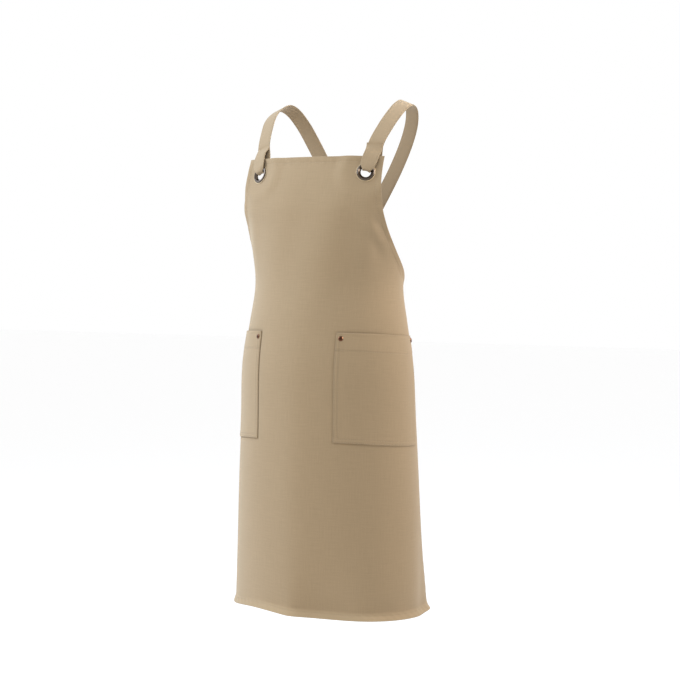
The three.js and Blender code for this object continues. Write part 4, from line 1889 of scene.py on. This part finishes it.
@dataclass
class Eyelet:
    """A pressed two-part eyelet: a domed ring in front, its barrel through the cloth, and a washer behind."""

    form: WornForm
    side: Side
    plate: bpy.types.Material
    hole: float = 9.5
    barrel: float = 11.2
    outer: float = 18.5
    bead: float = 16.9
    crest: float = 13.7
    throat: float = 10.6
    washer: float = 17.0
    seat: float = 0.86
    flange_height: float = 0.7
    front_height: float = 3.0
    back_height: float = 0.9
    bead_steps: int = 8
    funnel_steps: int = 6
    # The flange's painted reflection of the cloth: how strong, between which radii, and from which height
    wear: float = 0.85
    painted_reflection_inside: float = 0.1
    painted_reflection_outside: float = 0.25
    painted_reflection_from_z: float = -0.5
    sides: int = 72

    def rings(self) -> list[tuple[float, float]]:
        """Draws the eyelet's section, from the back of its hole round the washer, barrel and dome.

        Returns:
            The radius and height of each ring.
        """
        front, back = self.seat, self.seat + self.back_height
        flange = front + self.flange_height
        start = (self.hole, -back + 0.7)
        washer = [
            (self.hole + 0.25, -back + 0.2),
            (self.hole + 0.9, -back),
            (self.hole + 2.2, -back - 0.1),
            (self.hole + 3.0, -back + 0.15),
            (self.washer - 0.6, -back + 0.3),
            (self.washer, -front - 0.15),
            (self.washer - 0.2, -front),
        ]
        barrel = [(self.barrel, -front), (self.barrel, front), (self.outer - 0.2, front)]
        dome = [(self.outer, front + 0.25), (self.outer - 0.2, flange - 0.15), (self.bead + 0.3, flange)]
        for i in range(self.bead_steps + 1):
            turn = math.pi / 2 * i / self.bead_steps
            radius = self.crest + (self.bead - self.crest) * math.cos(turn)
            dome.append((radius, flange + (self.front_height - self.flange_height) * math.sin(turn)))
        for i in range(1, self.funnel_steps + 1):
            share = i / self.funnel_steps
            radius = self.crest - (self.crest - self.throat) * share
            dome.append((radius, front + self.front_height * (1 - share)))
        dome += [(self.hole + 0.4, front - 0.6), (self.hole, front - 1.1)]
        return [start, *washer, *barrel, *dome, start]

    def build(self) -> bpy.types.Object:
        """Makes the eyelet in place.

        Returns:
            The eyelet.
        """
        piece = turn_rings(f"{self.side.hand}_plated_eyelet", self.rings(), self.sides, True)
        dress_turned(piece, self.plate, self._rubbed, *self.form.eyelets[self.side])
        return settle(piece, Slot.EYELET, f"{self.side.hand}_eyelet")

    def _rubbed(self, radius: Array, z: Array) -> Array:
        """How light each vertex's colour is made: the flat flange gets a painted reflection of the cloth, and
        the raised bead inside it does not.
        """
        flange = smooth_step(self.bead - self.painted_reflection_inside, self.bead + self.painted_reflection_outside, radius)
        return self.wear * flange * smooth_step(self.painted_reflection_from_z, self.seat, z)


@dataclass
class Rivet:
    """A tubular rivet: a domed cap on the pocket, a post through both cloths and a plate behind the panel."""

    form: WornForm
    side: Side
    spot: RivetSpot
    plate: bpy.types.Material
    cap: float = 4.8
    cap_height: float = 1.9
    post: float = 1.6
    back_plate: float = 4.2
    seat: float = 2.55
    back_seat: float = -1.15
    wear: float = 0.4
    wear_inset: float = 0.6
    wear_spread: float = 0.9
    sides: int = 40

    def rings(self) -> list[tuple[float, float]]:
        """Draws the rivet's section, from the middle of its back plate to the top of its cap.

        Returns:
            The radius and height of each ring.
        """
        cap, low, high = self.cap, self.seat, self.cap_height
        back = self.back_seat
        return [
            (0.5, back - 0.55),
            (1.5, back - 0.6),
            (2.2, back - 0.8),
            (3.6, back - 0.75),
            (self.back_plate, back - 0.3),
            (self.back_plate - 0.1, back),
            (self.post, back),
            (self.post, low),
            (cap - 0.15, low),
            (cap, low + 0.2),
            (cap - 0.15, low + 0.22 * high),
            (cap - 0.7, low + 0.48 * high),
            (cap - 1.2, low + 0.7 * high),
            (cap - 1.7, low + 0.84 * high),
            (0.48 * cap, low + 0.93 * high),
            (0.26 * cap, low + 0.98 * high),
            (0.1 * cap, low + high),
        ]

    def build(self) -> bpy.types.Object:
        """Makes the rivet in place.

        Returns:
            The rivet.
        """
        corner = self.spot.corner.value
        piece = turn_rings(f"{self.side.hand}_{corner}_copper_rivet", self.rings(), self.sides, False)
        patch = self.form.patch(np.array([self.side.value * self.spot.s]), np.array([self.spot.v]))
        dress_turned(piece, self.plate, self._rubbed, patch.middle[0], patch.normal[0])
        return settle(piece, Slot.RIVET, f"{self.side.hand}_pocket_{corner}_rivet")

    def _rubbed(self, radius: Array, z: Array) -> Array:
        """How light each vertex's colour is made: the raised rim of the cap, worn bright."""
        rim = bump_at(radius, self.cap - self.wear_inset, self.wear_spread)
        return self.wear * rim * smooth_step(0.0, self.seat, z)


# Studio


@dataclass(frozen=True)
class Softbox:
    """A round soft light: its bearing from the camera's side, height, distance, size, power, colour, aim and
    beam, whether metal mirrors it and whether it lights cloth."""

    name: str
    bearing_degrees: float
    height: float
    distance: float
    size: float
    watts: float
    colour: str
    aim_z: float = -520.0
    beam_degrees: float = 180.0
    mirrored: bool = True
    lights_cloth: bool = True


@dataclass
class Studio:
    """A pale floor, soft lights and the camera."""

    camera_bearing_degrees: float = 30.0
    camera_distance: float = 3250.0
    camera_height: float = -360.0
    axis_y: float = -55.0
    tilt_degrees: float = 1.62
    pan_degrees: float = 0.405
    roll_degrees: float = 0.8
    lens: float = 89.8
    sensor: float = 36.0
    view_reach: float = 100_000.0
    floor_z: float = -1420.0
    floor_size: float = 60_000.0
    sky: float = 1.0
    boxes: tuple[Softbox, ...] = (
        Softbox("key_light", -92.0, 1700.0, 2400.0, 2600.0, 119.0, "d4e7ff"),
        Softbox("side_light", 95.0, 1110.0, 1600.0, 1000.0, 4.9, "fff4e8", -330.0, 62.0),
        Softbox("chest_light", -10.0, 1000.0, 800.0, 500.0, 3.9, "d2e8ff", mirrored=False),
        Softbox("glint_card", 72.0, 650.0, 1500.0, 1000.0, 37.0, "ffffff", -330.0, lights_cloth=False),
    )

    def build(self) -> None:
        """Makes the floor, the lights and the camera."""
        scene = bpy.context.scene
        scene.view_settings.view_transform = "Standard"
        deselect_all()
        bpy.ops.mesh.primitive_plane_add(size=self.floor_size * MM, location=(0.0, 0.0, self.floor_z * MM))
        floor = bpy.context.object
        floor.name = "floor"
        floor.data.materials.append(FloorFinish().material())
        self._sky(scene)
        for box in self.boxes:
            self._light(scene, box)
        self._camera(scene)

    def _sky(self, scene: bpy.types.Scene) -> None:
        """Fills the room with even white light.

        Args:
            scene: The scene.
        """
        world = bpy.data.worlds.new("studio")
        world.use_nodes = True
        background = world.node_tree.nodes["Background"]
        background.inputs["Color"].default_value = (1.0, 1.0, 1.0, 1.0)
        background.inputs["Strength"].default_value = self.sky
        scene.world = world

    def _light(self, scene: bpy.types.Scene, box: Softbox) -> None:
        """Hangs a softbox, aimed at the apron.

        Args:
            scene: The scene.
            box: The softbox.
        """
        bearing = math.radians(self.camera_bearing_degrees + box.bearing_degrees)
        out = Vector((math.sin(bearing), -math.cos(bearing), 0.0)) * box.distance
        aim = Vector((0.0, self.axis_y, box.aim_z))
        at = aim + out + Vector((0.0, 0.0, box.height))
        data = bpy.data.lights.new(box.name, "AREA")
        data.shape = "DISK"
        data.size = box.size * MM
        data.energy = box.watts
        data.spread = math.radians(box.beam_degrees)
        data.color = linear(box.colour)[:3]
        lamp = bpy.data.objects.new(box.name, data)
        scene.collection.objects.link(lamp)
        lamp.location = at * MM
        lamp.rotation_euler = (aim - at).to_track_quat("-Z", "Y").to_euler()
        lamp.visible_camera = False
        lamp.visible_glossy = box.mirrored
        lamp.visible_diffuse = box.lights_cloth

    def _camera(self, scene: bpy.types.Scene) -> None:
        """Sets the camera at the photograph's viewing angle.

        Args:
            scene: The scene.
        """
        bearing = math.radians(self.camera_bearing_degrees)
        tilt, pan = math.radians(self.tilt_degrees), math.radians(self.pan_degrees)
        roll = math.radians(self.roll_degrees)
        back = Vector((math.sin(bearing), -math.cos(bearing), 0.0))
        at = back * self.camera_distance + Vector((0.0, self.axis_y, self.camera_height))
        side = Vector((math.cos(bearing), math.sin(bearing), 0.0))
        ahead = -back * math.cos(pan) + side * math.sin(pan)
        side = side * math.cos(pan) + back * math.sin(pan)
        ahead = ahead * math.cos(tilt) - Vector((0.0, 0.0, 1.0)) * math.sin(tilt)
        up = side.cross(ahead)
        level = side * math.cos(roll) + up * math.sin(roll)
        upright = up * math.cos(roll) - side * math.sin(roll)
        data = bpy.data.cameras.new("camera")
        data.lens = self.lens
        data.sensor_width = self.sensor
        data.clip_end = self.view_reach * MM
        camera = bpy.data.objects.new("camera", data)
        scene.collection.objects.link(camera)
        axes = Matrix((level, upright, -ahead)).transposed().to_4x4()
        camera.matrix_world = Matrix.Translation(at * MM) @ axes
        scene.camera = camera


def main() -> None:
    """Builds the apron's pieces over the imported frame, with the studio."""
    logging.basicConfig(level=logging.INFO, format="%(name)s: %(message)s")
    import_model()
    Studio().build()
    form = WornForm()
    twill = TwillFinish("cotton_twill").material()
    strap_twill = TwillFinish("strap_cotton_twill", dark="897459", light="937d5f", relief=0.04).material()
    thread = ThreadFinish().material()
    # The light colour is a painted reflection of the cloth on the eyelets' flanges.
    nickel = PlatedFinish(
        "black_nickel_plate", dark="4a403a", light="d2bf9f", roughness=0.16, mark_share=0.1, dulling=0.8
    ).material()
    copper = PlatedFinish(
        "antique_copper_plate",
        dark="2a150d",
        light="8a6149",
        roughness=0.26,
        mark_mm=1.5,
        mark_depth=0.1,
        dulling=0.0,
    ).material()
    Panel(form, twill, thread).build()
    for side in Side:
        pocket = Pocket(form, side, twill, thread)
        pocket.build()
        Strap(form, side, strap_twill, thread).build()
        Eyelet(form, side, nickel).build()
        for spot in pocket.plan.rivets:
            Rivet(form, side, spot, copper).build()


if __name__ == "__main__":
    main()
